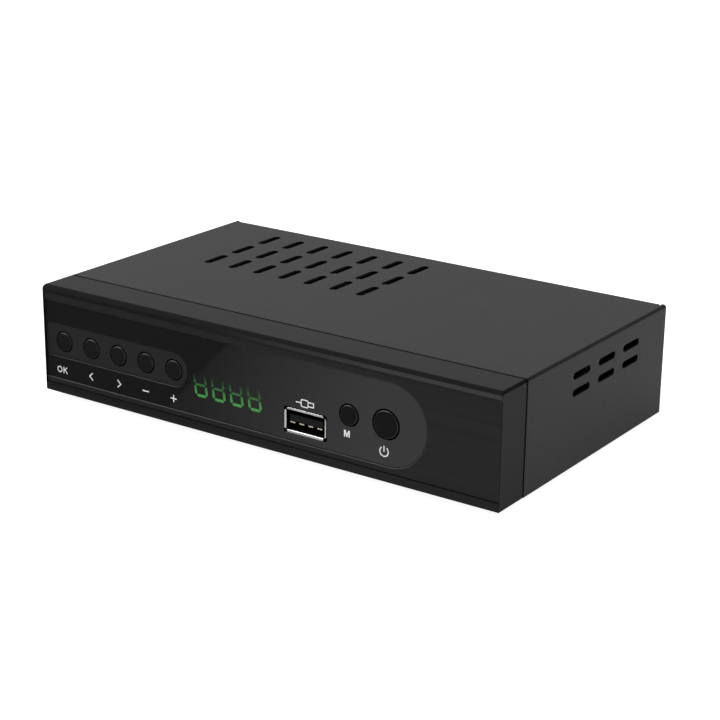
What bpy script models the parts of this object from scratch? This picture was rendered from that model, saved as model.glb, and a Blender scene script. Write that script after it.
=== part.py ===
"""Television receiver box: folded steel cover, moulded front, circuit boards, sockets and seven keys.

Metres, +Z up. The front faces -Y, and the origin is the middle of the underside of the object's box.
Shapes are drawn in millimetres from the case's front, left, bottom corner: x to the right, y to the
rear and z up. The case's underside is a little below z = 0. in_part_frame turns such a place into
metres in the part's frame.
"""

import math

import bmesh
import bpy
from mathutils import Vector

MM = 0.001

# Case
CASE_W = 156.0
CASE_D = 91.2
CASE_H = 32.2
CASE_LOW = -0.4
FOOT_H = 2.0
BEZEL_D = 12.0
SEAM = 0.45
SHEET = 0.8
BEND_R = 0.9
GAP = 0.3

# Front, measured from the bezel's front face
LIP_DROP, LIP_REACH = 1.1, 1.5
LOW_EDGE_R, SIDE_EDGE_R = 0.5, 0.1
POCKET_EDGE = 0.25
POCKET_LOW, POCKET_HIGH = 2.2, 30.0
POCKET_FLOOR = 2.6
WALL_BACK = 4.2
FASCIA_FRONT, FASCIA_BACK = 0.3, 2.3
FASCIA_GAP, FASCIA_CHAMFER = 0.15, 0.2
LENS_FRONT, LENS_BACK = 0.55, 1.4
LENS_POCKET_FLOOR = 1.7
LENS_R = 11.7
LENS_END_X = 122.05
LENS_LEFT = 0.4
FRONT_ROW_Z = 15.8
PANEL_R = 5.2
PANEL_SINK = 0.25
RIM_END = BEZEL_D + 4.0
LUGS_X = (36.0, CASE_W - 36.0)
LUG_Y = (BEZEL_D + 1.3, BEZEL_D + 2.9)
LUG_HALF_W = 3.0

# Keys: a cap in a hole, a switch behind it
ROW_KEYS = {"ok": 7.25, "left": 17.88, "right": 28.24, "minus": 38.56, "plus": 48.88}
KEY_Z = 15.6
MENU_X = 109.2
POWER_X = 121.0
CAP_R, POWER_CAP_R = 2.8, 3.9
CAP_CLEARANCE = 0.4
CAP_PROUD = 0.3
CAP_STEM_R = 1.5
CAP_FLANGE = (WALL_BACK + GAP, WALL_BACK + GAP + 0.8)
CAP_STEM_END = 6.6
PLUNGER = (6.7, 8.7)
PLUNGER_R = 1.65
SWITCH = (7.7, 11.0)
SWITCH_SIDE = 6.0
SWITCH_WELL_END = 9.6

# Display, USB port and remote sensor
DISPLAY_X = (56.2, 81.6)
DISPLAY_Z = (8.1, 18.7)
DISPLAY_FRONT, DISPLAY_BACK = 2.8, 11.0
USB_X, USB_Z = 94.85, 9.9
USB_OPENING = (12.5, 5.12)
USB_FLARE = (14.1, 7.35)
USB_WALL = 0.35
USB_FRONT, USB_BACK = 0.45, 15.0
USB_FLARE_DEPTH = 1.35
USB_TONGUE = (-0.4, 1.45)
USB_TONGUE_HALF_W = 5.55
USB_TONGUE_FRONT, USB_BLOCK_FRONT = 1.2, 12.4
USB_CONTACT_W, USB_CONTACT_PITCH = 1.6, 3.0
SENSOR_X, SENSOR_Z = 86.8, 22.5
SENSOR_NOSE_R = 2.0
SENSOR_HOLE_R = 2.6

# Boards and the parts on them: a place is the low corner in x and y, a size is x, y and z
FRONT_BOARD = (11.3, 12.9)
FRONT_BOARD_X, FRONT_BOARD_Z = (3.1, 128.0), (7.0, 28.8)
FRONT_BOARD_NOTCH = (7.6, 14.6)
MAIN_BOARD_Z = (5.1, 6.7)
PARTS_Z = MAIN_BOARD_Z[1] + 0.2
STANDOFF_R = 3.0
STANDOFFS = [(x, y) for x in (7.0, CASE_W - 7.0) for y in (22.0, 72.0)]
MAIN_BOARD_MARGIN, MAIN_BOARD_FRONT = 4.0, 9.5
SCREW_SHANK_R = 1.3
BOARD_SCREW_R, COVER_SCREW_R = 2.5, 2.9
HEADER_X, HEADER_SIZE = 20.0, (21.0, 2.5, 2.5)
HEADER_PINS, HEADER_PITCH, HEADER_PIN_W = 8, 2.54, 0.64
SYSTEM_CHIP = ((70.0, 40.0), (17.0, 17.0, 1.6))
MEMORY_CHIP = ((94.0, 43.0), (13.0, 8.0, 1.2))
FLASH_CHIP = ((94.0, 30.0), (8.0, 5.3, 1.8))
CRYSTAL_CAN = ((60.0, 32.0), (11.0, 4.6, 3.5))
POWER_INDUCTOR = ((30.0, 56.0), (10.0, 10.0, 4.6))
CAPACITOR_Y = 66.0
CAPACITORS = (("input", 21.0, 5.0, 16.0), ("output", 46.0, 4.0, 12.0))
FIN_COUNT, FIN_PITCH, FIN_W = 6, 4.0, 1.4
SINK_BASE, SINK_HEIGHT, SINK_LENGTH = 2.0, 9.5, 22.0

# Vents
TOP_VENT_X, TOP_VENT_PITCH, TOP_VENT_COLUMNS = 23.9, 9.37, 7
TOP_VENT_Y = (51.1, 64.4, 78.0)
TOP_VENT = (10.05, 2.5)
SIDE_VENT_Y, SIDE_VENT_PITCH, SIDE_VENT_COLUMNS = 41.5, 14.2, 3
SIDE_VENT_Z = (21.0, 25.8)
SIDE_VENT = (9.3, 2.0)
BASE_VENT_X, BASE_VENT_PITCH, BASE_VENT_COLUMNS = 48.0, 15.0, 5
BASE_VENT_Y = (38.0, 58.0)
BASE_VENT = (14.0, 2.5)

# Feet
FOOT_R, FOOT_FACE_R = 5.0, 4.4
FEET_X = (("left", 14.0), ("right", CASE_W - 14.0))
FEET_Y = (("front", 22.0), ("rear", 80.0))

# Rear: the chassis wall, the cover's lip and what comes through them
LIP = (CASE_D - SHEET, CASE_D)
REAR_WALL = (LIP[0] - GAP - SHEET, LIP[0] - GAP)
LIP_LOW = 24.9
SOCKET_REACH = 8.0
TUNER_X, TUNER_SIZE = 113.0, (32.0, 24.0, 14.0)
RF_X = (136.5, 121.5)
RF_Z = 13.6
RF_COLLAR_R, RF_TIP_R = 5.6, 4.75
HDMI_X = 100.5
HDMI_HALF_W, HDMI_HEIGHT, HDMI_WALL, HDMI_CORNER = 7.5, 5.6, 0.4, 1.8
HDMI_TONGUE = (11.0, 8.5, 1.1)
SCART_X = 65.0
SCART_HALF_W, SCART_HEIGHT, SCART_CORNER = 24.0, 14.4, 5.0
SCART_PINS, SCART_PITCH, SCART_SLOT = 10, 3.8, (1.0, 3.0)
SCART_ROWS = (4.4, 10.0)
COAX_X = 28.0
COAX_Z = 13.0
COAX_R, COAX_BORE_R = 4.15, 1.65
POWER_IN_X = 13.5
POWER_IN_Z = 12.4
POWER_IN_R, POWER_IN_MOUTH_R, POWER_IN_PIN_R = 4.1, 2.95, 1.05
OPENING_GAP = 0.3
SCREW_HOLE_R = 1.6
COVER_SCREWS_X = (12.0, CASE_W - 12.0)
COVER_SCREW_Z = 28.3

FRONT_Y = -(CASE_D + SOCKET_REACH) / 2


def in_part_frame(x, y, z):
    return Vector((x - CASE_W / 2, y + FRONT_Y, z + FOOT_H)) * MM


# ---------------------------------------------------------------- materials


def material(name, colour, roughness, metallic=0.0):
    made = bpy.data.materials.new(name)
    made.use_nodes = True
    shader = made.node_tree.nodes["Principled BSDF"]
    shader.inputs["Base Color"].default_value = (*colour, 1.0)
    shader.inputs["Roughness"].default_value = roughness
    shader.inputs["Metallic"].default_value = metallic
    return made


def grey(level):
    return (level, level, level)


def make_materials():
    return {
        "painted_steel": material("painted_steel", grey(0.032), 0.5),
        "bezel_plastic": material("bezel_plastic", grey(0.03), 0.42),
        "fascia": material("fascia", grey(0.022), 0.45),
        "smoked_lens": material("smoked_lens", grey(0.014), 0.08),
        "key_plastic": material("key_plastic", grey(0.008), 0.4),
        "switch_steel": material("switch_steel", grey(0.5), 0.35, 1.0),
        "black_plastic": material("black_plastic", grey(0.012), 0.5),
        "board": material("board", (0.01, 0.09, 0.03), 0.45),
        "bright_steel": material("bright_steel", grey(0.62), 0.25, 1.0),
        "gold": material("gold", (0.83, 0.6, 0.22), 0.3, 1.0),
        "aluminium": material("aluminium", grey(0.55), 0.4, 1.0),
        "capacitor_sleeve": material("capacitor_sleeve", (0.01, 0.012, 0.03), 0.35),
        "ferrite": material("ferrite", grey(0.06), 0.7),
        "rubber": material("rubber", grey(0.02), 0.85),
        "screw_steel": material("screw_steel", grey(0.08), 0.35, 1.0),
        "coax_insert": material("coax_insert", (0.75, 0.2, 0.02), 0.4),
    }


# ------------------------------------------------------------ outlines, 2-D


def arc(centre, radii, start, end, steps):
    """Points along an elliptical arc, in degrees, both ends included."""
    angles = [math.radians(start + (end - start) * k / steps) for k in range(steps + 1)]
    return [
        (centre[0] + radii[0] * math.cos(a), centre[1] + radii[1] * math.sin(a))
        for a in angles
    ]


def rectangle(low, high):
    return [low, (high[0], low[1]), high, (low[0], high[1])]


def slot_outline(centre, length, width, steps=5):
    """A round-ended slot that runs along the first of its two directions."""
    r = width / 2
    reach = length / 2 - r
    right = arc((centre[0] + reach, centre[1]), (r, r), -90, 90, steps)
    left = arc((centre[0] - reach, centre[1]), (r, r), 90, 270, steps)
    return right + left


def half_pill(left, end_x, r, grow=0.0, steps=16):
    """A strip that is square at its left end and round at its right end."""
    r = r + grow
    cap = arc((end_x, FRONT_ROW_Z), (r, r), -90, 90, steps)
    return cap + [(left, FRONT_ROW_Z + r), (left, FRONT_ROW_Z - r)]


# Planes that an outline can be drawn in. Each is given the outline's two values and the extrusion's.


def seen_from_front(u, v, along):
    return (u, along, v)


def seen_from_side(u, v, along):
    return (along, u, v)


def seen_from_above(u, v, along):
    return (u, v, along)


# ------------------------------------------------------------- solid shapes


def bridge(shape, one, other):
    """Faces between two rings of vertices, either of which may be a single point."""
    count = max(len(one), len(other))
    for k in range(count):
        n = (k + 1) % count
        if len(one) == 1:
            shape.faces.new((one[0], other[k], other[n]))
        elif len(other) == 1:
            shape.faces.new((one[k], other[0], one[n]))
        else:
            shape.faces.new((one[k], other[k], other[n], one[n]))


def loft(shape, sections):
    """Adds a closed solid through sections of equal point count, capped at both ends."""
    rings = [[shape.verts.new(point) for point in section] for section in sections]
    for one, other in zip(rings, rings[1:]):
        bridge(shape, one, other)
    for end in (rings[0], rings[-1]):
        if len(end) > 1:
            shape.faces.new(end)


def prism(shape, outline, start, end, plane):
    loft(shape, [[plane(u, v, along) for u, v in outline] for along in (start, end)])


def box(shape, low, high):
    prism(shape, rectangle(low[:2], high[:2]), low[2], high[2], seen_from_above)


def turned(shape, profile, centre, segments, plane=seen_from_front):
    """Adds a solid turned about a line through centre. A profile holds (radius, place along it)."""
    sections = []
    for radius, along in profile:
        if radius == 0:
            sections.append([plane(*centre, along)])
            continue
        ring = arc(centre, (radius, radius), 0, 360, segments)[:-1]
        sections.append([plane(u, v, along) for u, v in ring])
    loft(shape, sections)


def cylinder(shape, centre, radius, start, end, segments, plane=seen_from_front):
    turned(shape, [(radius, start), (radius, end)], centre, segments, plane)


# ------------------------------------------------------------------ objects


def place(name, shape, finish=None, origin=(0.0, 0.0, 0.0)):
    """Makes an object of a shape drawn in case millimetres, with its origin at a place in the case."""
    bmesh.ops.recalc_face_normals(shape, faces=shape.faces)
    bmesh.ops.translate(shape, vec=-Vector(origin), verts=shape.verts)
    bmesh.ops.scale(shape, vec=(MM, MM, MM), verts=shape.verts)
    mesh = bpy.data.meshes.new(name)
    shape.to_mesh(mesh)
    shape.free()
    mesh.shade_smooth()
    mesh.set_sharp_from_angle(angle=math.radians(35))
    made = bpy.data.objects.new(name, mesh)
    made.location = in_part_frame(*origin)
    bpy.context.scene.collection.objects.link(made)
    if finish:
        mesh.materials.append(finish)
    return made


def combine(target, operation, shape):
    """Joins a helper shape to an object, or cuts it away, with an exact Boolean."""
    name = f"{target.name}_{operation.lower()}_{len(target.modifiers)}"
    helper = place(name, shape)
    helper.hide_render = True
    helper.display_type = "WIRE"
    step = target.modifiers.new(name, "BOOLEAN")
    step.operation = operation
    step.solver = "EXACT"
    step.object = helper


def cut(target, shape):
    combine(target, "DIFFERENCE", shape)


def join(target, shape):
    combine(target, "UNION", shape)


# ------------------------------------------------------------ cover and base


def cover_outline():
    """The folded sheet seen from the front: an upside-down U with bent corners."""
    inner_r = BEND_R - SHEET
    outer_left = arc((BEND_R, CASE_H - BEND_R), (BEND_R, BEND_R), 180, 90, 4)
    outer_right = arc((CASE_W - BEND_R, CASE_H - BEND_R), (BEND_R, BEND_R), 90, 0, 4)
    inner_right = arc((CASE_W - BEND_R, CASE_H - BEND_R), (inner_r, inner_r), 0, 90, 4)
    inner_left = arc((BEND_R, CASE_H - BEND_R), (inner_r, inner_r), 90, 180, 4)
    hem_right = [(CASE_W, CASE_LOW), (CASE_W - SHEET, CASE_LOW)]
    hem_left = [(SHEET, CASE_LOW), (0.0, CASE_LOW)]
    return outer_left + outer_right + hem_right + inner_right + inner_left + hem_left


def top_vents():
    shape = bmesh.new()
    for column in range(TOP_VENT_COLUMNS):
        x = TOP_VENT_X + column * TOP_VENT_PITCH
        for y in TOP_VENT_Y:
            outline = [(x + v, y + u) for u, v in slot_outline((0, 0), *TOP_VENT)]
            prism(shape, outline, CASE_H - 2 * SHEET, CASE_H + SHEET, seen_from_above)
    return shape


def side_vents():
    shape = bmesh.new()
    for column in range(SIDE_VENT_COLUMNS):
        y = SIDE_VENT_Y + column * SIDE_VENT_PITCH
        for z in SIDE_VENT_Z:
            outline = slot_outline((y, z), *SIDE_VENT)
            prism(shape, outline, -SHEET, 2 * SHEET, seen_from_side)
            prism(shape, outline, CASE_W - 2 * SHEET, CASE_W + SHEET, seen_from_side)
    return shape


def screw_holes(start, end):
    shape = bmesh.new()
    for x in COVER_SCREWS_X:
        cylinder(shape, (x, COVER_SCREW_Z), SCREW_HOLE_R, start, end, 12)
    return shape


def make_top_cover(finish):
    shape = bmesh.new()
    prism(shape, cover_outline(), BEZEL_D + SEAM, CASE_D, seen_from_front)
    cover = place("top_cover", shape, finish)
    lip = bmesh.new()
    box(lip, (2.0, LIP[0], LIP_LOW), (CASE_W - 2.0, LIP[1], CASE_H - SHEET / 2))
    join(cover, lip)
    cut(cover, top_vents())
    cut(cover, side_vents())
    cut(cover, screw_holes(LIP[0] - 1, LIP[1] + 1))


def socket_openings():
    """One cutter for the rear wall: a hole around each socket, with a gap all round it."""
    start, end = REAR_WALL[0] - 1, REAR_WALL[1] + 1
    shape = bmesh.new()
    for x in RF_X:
        cylinder(shape, (x, RF_Z), RF_COLLAR_R + OPENING_GAP, start, end, 20)
    cylinder(shape, (COAX_X, COAX_Z), COAX_R + OPENING_GAP, start, end, 20)
    cylinder(shape, (POWER_IN_X, POWER_IN_Z), POWER_IN_R + OPENING_GAP, start, end, 20)
    blocks = ((HDMI_X, HDMI_HALF_W, HDMI_HEIGHT), (SCART_X, SCART_HALF_W, SCART_HEIGHT))
    for x, half_w, height in blocks:
        half_w += OPENING_GAP
        low = (x - half_w, start, PARTS_Z - OPENING_GAP / 2)
        box(shape, low, (x + half_w, end, PARTS_Z + height + OPENING_GAP))
    return shape


def base_vents():
    shape = bmesh.new()
    for column in range(BASE_VENT_COLUMNS):
        x = BASE_VENT_X + column * BASE_VENT_PITCH
        for y in BASE_VENT_Y:
            outline = [(x + v, y + u) for u, v in slot_outline((0, 0), *BASE_VENT, steps=4)]
            prism(shape, outline, CASE_LOW - 1, SHEET + 1, seen_from_above)
    return shape


def make_base_chassis(finish):
    edge = SHEET + GAP
    top = CASE_H - SHEET - GAP
    floor = CASE_LOW + SHEET
    tray_side = [
        (BEZEL_D + SEAM, CASE_LOW),
        (REAR_WALL[1], CASE_LOW),
        (REAR_WALL[1], top),
        (REAR_WALL[0], top),
        (REAR_WALL[0], floor),
        (BEZEL_D + SEAM, floor),
    ]
    shape = bmesh.new()
    prism(shape, tray_side, edge, CASE_W - edge, seen_from_side)
    chassis = place("base_chassis", shape, finish)
    folds = bmesh.new()
    for x in (edge, CASE_W - edge - SHEET):
        low = (x, RIM_END + 2 * GAP, CASE_LOW + SHEET / 2)
        box(folds, low, (x + SHEET, REAR_WALL[0] - GAP, 8.0))
    start, end = CASE_LOW + SHEET / 2, MAIN_BOARD_Z[0] - GAP
    for x, y in STANDOFFS:
        cylinder(folds, (x, y), STANDOFF_R, start, end, 16, seen_from_above)
    join(chassis, folds)
    bores = bmesh.new()
    for x, y in STANDOFFS:
        cylinder(bores, (x, y), 1.5, floor + 0.2, MAIN_BOARD_Z[0] + 1, 12, seen_from_above)
    cut(chassis, bores)
    cut(chassis, socket_openings())
    cut(chassis, screw_holes(REAR_WALL[0] - 1, REAR_WALL[1] + 1))
    cut(chassis, base_vents())
    windows = bmesh.new()
    for x in LUGS_X:
        half_w = LUG_HALF_W + GAP
        low = (x - half_w, LUG_Y[0] - GAP, CASE_LOW - 1)
        box(windows, low, (x + half_w, LUG_Y[1] + GAP, floor + 1))
    cut(chassis, windows)


def make_feet(finish):
    for side, x in FEET_X:
        for end, y in FEET_Y:
            shape = bmesh.new()
            profile = [(FOOT_FACE_R, -FOOT_H), (FOOT_R, -FOOT_H + 0.6), (FOOT_R, CASE_LOW - 0.1)]
            turned(shape, profile, (x, y), 24, seen_from_above)
            place(f"foot_{end}_{side}", shape, finish, (x, y, -FOOT_H))


# -------------------------------------------------------------------- front


def bezel_section(y):
    """The bezel's outline at a depth: its front edges are rounded, most of all the upper one."""
    into_top = max(0.0, 1 - y / LIP_REACH)
    into_low = max(0.0, 1 - y / LOW_EDGE_R)
    top = CASE_H - LIP_DROP * (1 - math.sqrt(1 - into_top**2))
    low = CASE_LOW + LOW_EDGE_R * (1 - math.sqrt(1 - into_low**2))
    side = SIDE_EDGE_R * max(0.0, 1 - y / (2 * SIDE_EDGE_R))
    r = BEND_R - 0.4 * into_top
    left = arc((side + r, top - r), (r, r), 180, 90, 4)
    right = arc((CASE_W - side - r, top - r), (r, r), 90, 0, 4)
    outline = left + right + [(CASE_W - side, low), (side, low)]
    return [seen_from_front(u, v, y) for u, v in outline]


def key_places():
    """Each key's name, x and cap radius."""
    row = [(name, x, CAP_R) for name, x in ROW_KEYS.items()]
    return row + [("menu", MENU_X, CAP_R), ("power", POWER_X, POWER_CAP_R)]


def key_holes(start, end, extra=0.0):
    shape = bmesh.new()
    for _, x, r in key_places():
        cylinder(shape, (x, KEY_Z), r + CAP_CLEARANCE + extra, start, end, 24)
    return shape


def add_usb_opening(shape, start, end, margin):
    half_w = USB_FLARE[0] / 2 + margin
    half_h = USB_FLARE[1] / 2 + margin
    box(shape, (USB_X - half_w, start, USB_Z - half_h), (USB_X + half_w, end, USB_Z + half_h))


def make_front_bezel(finish):
    steps = 7
    turns = [math.cos(math.radians(90 * k / steps)) for k in range(steps + 1)]
    depths = [LIP_REACH * (1 - turn) for turn in turns]
    shape = bmesh.new()
    loft(shape, [bezel_section(y) for y in depths + [BEZEL_D]])
    bezel = place("front_bezel", shape, finish)
    tongue = SHEET + GAP
    rim = bmesh.new()
    low = (tongue, BEZEL_D - 1, CASE_LOW + tongue)
    box(rim, low, (CASE_W - tongue, RIM_END, CASE_H - tongue))
    join(bezel, rim)
    lugs = bmesh.new()
    for x in LUGS_X:
        low = (x - LUG_HALF_W, LUG_Y[0], CASE_LOW + 0.25)
        box(lugs, low, (x + LUG_HALF_W, LUG_Y[1], CASE_LOW + tongue + 0.6))
    join(bezel, lugs)
    wall, rim_wall = 2.0, 2.7
    hollow = bmesh.new()
    box(hollow, (wall, WALL_BACK, wall), (CASE_W - wall, BEZEL_D - 1.5, CASE_H - wall))
    cut(bezel, hollow)
    throat = bmesh.new()
    low = (rim_wall, BEZEL_D - 2, rim_wall)
    box(throat, low, (CASE_W - rim_wall, RIM_END + 1, CASE_H - rim_wall))
    cut(bezel, throat)
    pocket = bmesh.new()
    low = (POCKET_EDGE, -1, POCKET_LOW)
    box(pocket, low, (CASE_W - POCKET_EDGE, POCKET_FLOOR, POCKET_HIGH))
    cut(bezel, pocket)
    cut(bezel, key_holes(POCKET_FLOOR - 1, WALL_BACK + 1))
    windows = bmesh.new()
    add_usb_opening(windows, POCKET_FLOOR - 1, WALL_BACK + 1, 0.4)
    low = (DISPLAY_X[0] - 0.4, POCKET_FLOOR - 1, DISPLAY_Z[0] - 0.4)
    box(windows, low, (DISPLAY_X[1] + 0.4, WALL_BACK + 1, DISPLAY_Z[1] + 0.4))
    cylinder(windows, (SENSOR_X, SENSOR_Z), SENSOR_HOLE_R, POCKET_FLOOR - 1, WALL_BACK + 1, 16)
    cut(bezel, windows)


def make_fascia_plate(finish):
    chamfer = FASCIA_CHAMFER
    left = POCKET_EDGE + FASCIA_GAP
    right = CASE_W - left
    low, high = POCKET_LOW + FASCIA_GAP, POCKET_HIGH - FASCIA_GAP
    sections = []
    for y, shrink in ((FASCIA_FRONT, chamfer), (FASCIA_FRONT + chamfer, 0.0), (FASCIA_BACK, 0.0)):
        outline = rectangle((left + shrink, low + shrink), (right - shrink, high - shrink))
        sections.append([seen_from_front(u, v, y) for u, v in outline])
    shape = bmesh.new()
    loft(shape, sections)
    plate = place("fascia_plate", shape, finish)
    recess = sunk_half_pill(-2.0, LENS_END_X, LENS_R + 0.1, FASCIA_FRONT, 0.25, LENS_POCKET_FLOOR)
    cut(plate, recess)
    cut(plate, key_holes(LENS_POCKET_FLOOR - 1, FASCIA_BACK + 1, 0.1))
    windows = bmesh.new()
    add_usb_opening(windows, LENS_POCKET_FLOOR - 1, FASCIA_BACK + 1, 0.4)
    box(
        windows,
        (DISPLAY_X[0] + 0.3, LENS_POCKET_FLOOR - 1, DISPLAY_Z[0] + 0.3),
        (DISPLAY_X[1] - 0.3, FASCIA_BACK + 1, DISPLAY_Z[1] - 0.3),
    )
    hole_r = SENSOR_HOLE_R - 0.4
    cylinder(windows, (SENSOR_X, SENSOR_Z), hole_r, LENS_POCKET_FLOOR - 1, FASCIA_BACK + 1, 16)
    cut(plate, windows)


def sunk_half_pill(left, end_x, r, front, chamfer, floor):
    """A cutter for a recess that is open at the left, with a chamfered upper edge."""
    above = 0.5
    shape = bmesh.new()
    sections = []
    for y, grow in ((front - above, chamfer + above), (front + chamfer, 0.0), (floor, 0.0)):
        outline = half_pill(left, end_x, r, grow)
        sections.append([seen_from_front(u, v, y) for u, v in outline])
    loft(shape, sections)
    return shape


def make_display_lens(finish):
    shape = bmesh.new()
    outline = half_pill(LENS_LEFT, LENS_END_X, LENS_R)
    prism(shape, outline, LENS_FRONT, LENS_BACK, seen_from_front)
    lens = place("display_lens", shape, finish)
    panel = LENS_FRONT + PANEL_SINK
    cut(lens, sunk_half_pill(-2.0, ROW_KEYS["plus"], PANEL_R - 0.15, LENS_FRONT, 0.15, panel))
    cut(lens, key_holes(LENS_FRONT - 1, LENS_BACK + 1))
    window = bmesh.new()
    add_usb_opening(window, LENS_FRONT - 1, LENS_BACK + 1, 0.15)
    cut(lens, window)


def make_keys(materials):
    for name, x, r in key_places():
        centre = (x, KEY_Z)
        in_panel = x < LENS_END_X / 2
        front = LENS_FRONT + (PANEL_SINK if in_panel else 0.0) - CAP_PROUD
        cap = [
            (0, front),
            (r - 0.55, front + 0.03),
            (r - 0.2, front + 0.14),
            (r, front + 0.42),
            (r, CAP_FLANGE[0]),
            (r + 0.8, CAP_FLANGE[0]),
            (r + 0.8, CAP_FLANGE[1]),
            (CAP_STEM_R, CAP_FLANGE[1]),
            (CAP_STEM_R, CAP_STEM_END),
        ]
        shape = bmesh.new()
        turned(shape, cap, centre, 24 if r > CAP_R else 20)
        place(f"{name}_button", shape, materials["key_plastic"], (x, front, KEY_Z))

        shape = bmesh.new()
        cylinder(shape, centre, PLUNGER_R, *PLUNGER, 12)
        finish = materials["black_plastic"]
        place(f"{name}_switch_plunger", shape, finish, (x, PLUNGER[0], KEY_Z))

        half = SWITCH_SIDE / 2
        shape = bmesh.new()
        box(shape, (x - half, SWITCH[0], KEY_Z - half), (x + half, SWITCH[1], KEY_Z + half))
        switch = place(f"{name}_switch_body", shape, materials["switch_steel"])
        well = bmesh.new()
        cylinder(well, centre, PLUNGER_R + 0.25, SWITCH[0] - 1, SWITCH_WELL_END, 12)
        cut(switch, well)


def make_digit_display(finish):
    shape = bmesh.new()
    box(
        shape,
        (DISPLAY_X[0], DISPLAY_FRONT, DISPLAY_Z[0]),
        (DISPLAY_X[1], DISPLAY_BACK, DISPLAY_Z[1]),
    )
    place("digit_display", shape, finish)


def make_ir_receiver(finish):
    nose_r = SENSOR_NOSE_R
    back = FRONT_BOARD[0] - GAP
    nose = arc((SENSOR_X, WALL_BACK + GAP + nose_r), (nose_r, nose_r), 180, 360, 8)
    outline = nose + [(SENSOR_X + nose_r, back), (SENSOR_X - nose_r, back)]
    shape = bmesh.new()
    prism(shape, outline, SENSOR_Z - 2.6, SENSOR_Z + 3.4, seen_from_above)
    place("ir_receiver", shape, finish)


# ----------------------------------------------------------------- USB port


def make_usb_port(materials):
    half_w = USB_OPENING[0] / 2
    half_h = USB_OPENING[1] / 2
    outer_w = half_w + USB_WALL
    outer_h = half_h + USB_WALL
    root = USB_FRONT + USB_FLARE_DEPTH
    shape = bmesh.new()
    low = (USB_X - outer_w, root - 0.6, USB_Z - outer_h)
    box(shape, low, (USB_X + outer_w, USB_BACK, USB_Z + outer_h))
    shell = place("usb_shell", shape, materials["bright_steel"])
    flares = bmesh.new()
    rise = USB_FLARE[1] / 2 - outer_h
    spread = USB_FLARE[0] / 2 - outer_w
    for sign in (-1, 1):
        flare = [(root, half_h + 0.05), (root, outer_h - 0.05), (USB_FRONT + 0.2, outer_h + rise)]
        flare += [(USB_FRONT, outer_h + rise - 0.3), (USB_FRONT + 0.45, half_h + 0.05)]
        outline = [(y, USB_Z + sign * z) for y, z in flare]
        prism(flares, outline, USB_X - half_w + 0.5, USB_X + half_w - 0.5, seen_from_side)
        flare = [(half_w + 0.05, root), (outer_w - 0.05, root), (outer_w + spread, USB_FRONT + 0.2)]
        flare += [(outer_w + spread - 0.3, USB_FRONT), (half_w + 0.05, USB_FRONT + 0.45)]
        outline = [(USB_X + sign * x, y) for x, y in flare]
        prism(flares, outline, USB_Z - half_h + 0.3, USB_Z + half_h - 0.3, seen_from_above)
    join(shell, flares)
    mouth = bmesh.new()
    box(
        mouth,
        (USB_X - half_w, USB_FRONT - 1, USB_Z - half_h),
        (USB_X + half_w, USB_BACK - USB_WALL, USB_Z + half_h),
    )
    cut(shell, mouth)

    tongue_low, tongue_high = (USB_Z + reach for reach in USB_TONGUE)
    half_tongue = USB_TONGUE_HALF_W
    back = USB_BACK - USB_WALL - GAP
    side = [
        (USB_TONGUE_FRONT, tongue_low),
        (USB_BLOCK_FRONT, tongue_low),
        (USB_BLOCK_FRONT, USB_Z - half_h + GAP),
        (back, USB_Z - half_h + GAP),
        (back, tongue_high),
        (USB_TONGUE_FRONT, tongue_high),
    ]
    shape = bmesh.new()
    prism(shape, side, USB_X - half_tongue, USB_X + half_tongue, seen_from_side)
    place("usb_tongue", shape, materials["black_plastic"])

    high = tongue_low - 0.1
    half_w = half_tongue - 0.25
    strips_end = USB_BLOCK_FRONT - 0.9
    shape = bmesh.new()
    low = (USB_X - half_w, strips_end - 0.5, high - 0.35)
    box(shape, low, (USB_X + half_w, strips_end + 0.5, high))
    contacts = place("usb_contacts", shape, materials["gold"])
    strips = bmesh.new()
    for k in range(4):
        x = USB_X + (k - 1.5) * USB_CONTACT_PITCH
        low = (x - USB_CONTACT_W / 2, USB_TONGUE_FRONT - 0.05, high - 0.3)
        box(strips, low, (x + USB_CONTACT_W / 2, strips_end, high - 0.02))
    join(contacts, strips)


# ------------------------------------------------------------------- boards


def make_front_board(finish):
    half_notch, notch_top = FRONT_BOARD_NOTCH
    left, right = FRONT_BOARD_X
    low, high = FRONT_BOARD_Z
    outline = [
        (left, low),
        (USB_X - half_notch, low),
        (USB_X - half_notch, notch_top),
        (USB_X + half_notch, notch_top),
        (USB_X + half_notch, low),
        (right, low),
        (right, high),
        (left, high),
    ]
    shape = bmesh.new()
    prism(shape, outline, *FRONT_BOARD, seen_from_front)
    place("front_board", shape, finish)


def make_board_header(finish):
    y = FRONT_BOARD[1] + GAP
    header = make_block("board_header", (HEADER_X, y, PARTS_Z), HEADER_SIZE, finish)
    pins = bmesh.new()
    first = HEADER_X + (HEADER_SIZE[0] - (HEADER_PINS - 1) * HEADER_PITCH - HEADER_PIN_W) / 2
    for k in range(HEADER_PINS):
        low = (first + HEADER_PITCH * k, y + 0.9, PARTS_Z + 2)
        box(pins, low, (low[0] + HEADER_PIN_W, low[1] + HEADER_PIN_W, PARTS_Z + 6.5))
    join(header, pins)


def make_main_board(finish):
    shape = bmesh.new()
    low = (MAIN_BOARD_MARGIN, MAIN_BOARD_FRONT, MAIN_BOARD_Z[0])
    box(shape, low, (CASE_W - MAIN_BOARD_MARGIN, REAR_WALL[0] - 0.5, MAIN_BOARD_Z[1]))
    board = place("main_board", shape, finish)
    holes = bmesh.new()
    for x, y in STANDOFFS:
        cylinder(holes, (x, y), 1.6, MAIN_BOARD_Z[0] - 1, MAIN_BOARD_Z[1] + 1, 12, seen_from_above)
    cut(board, holes)


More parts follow.
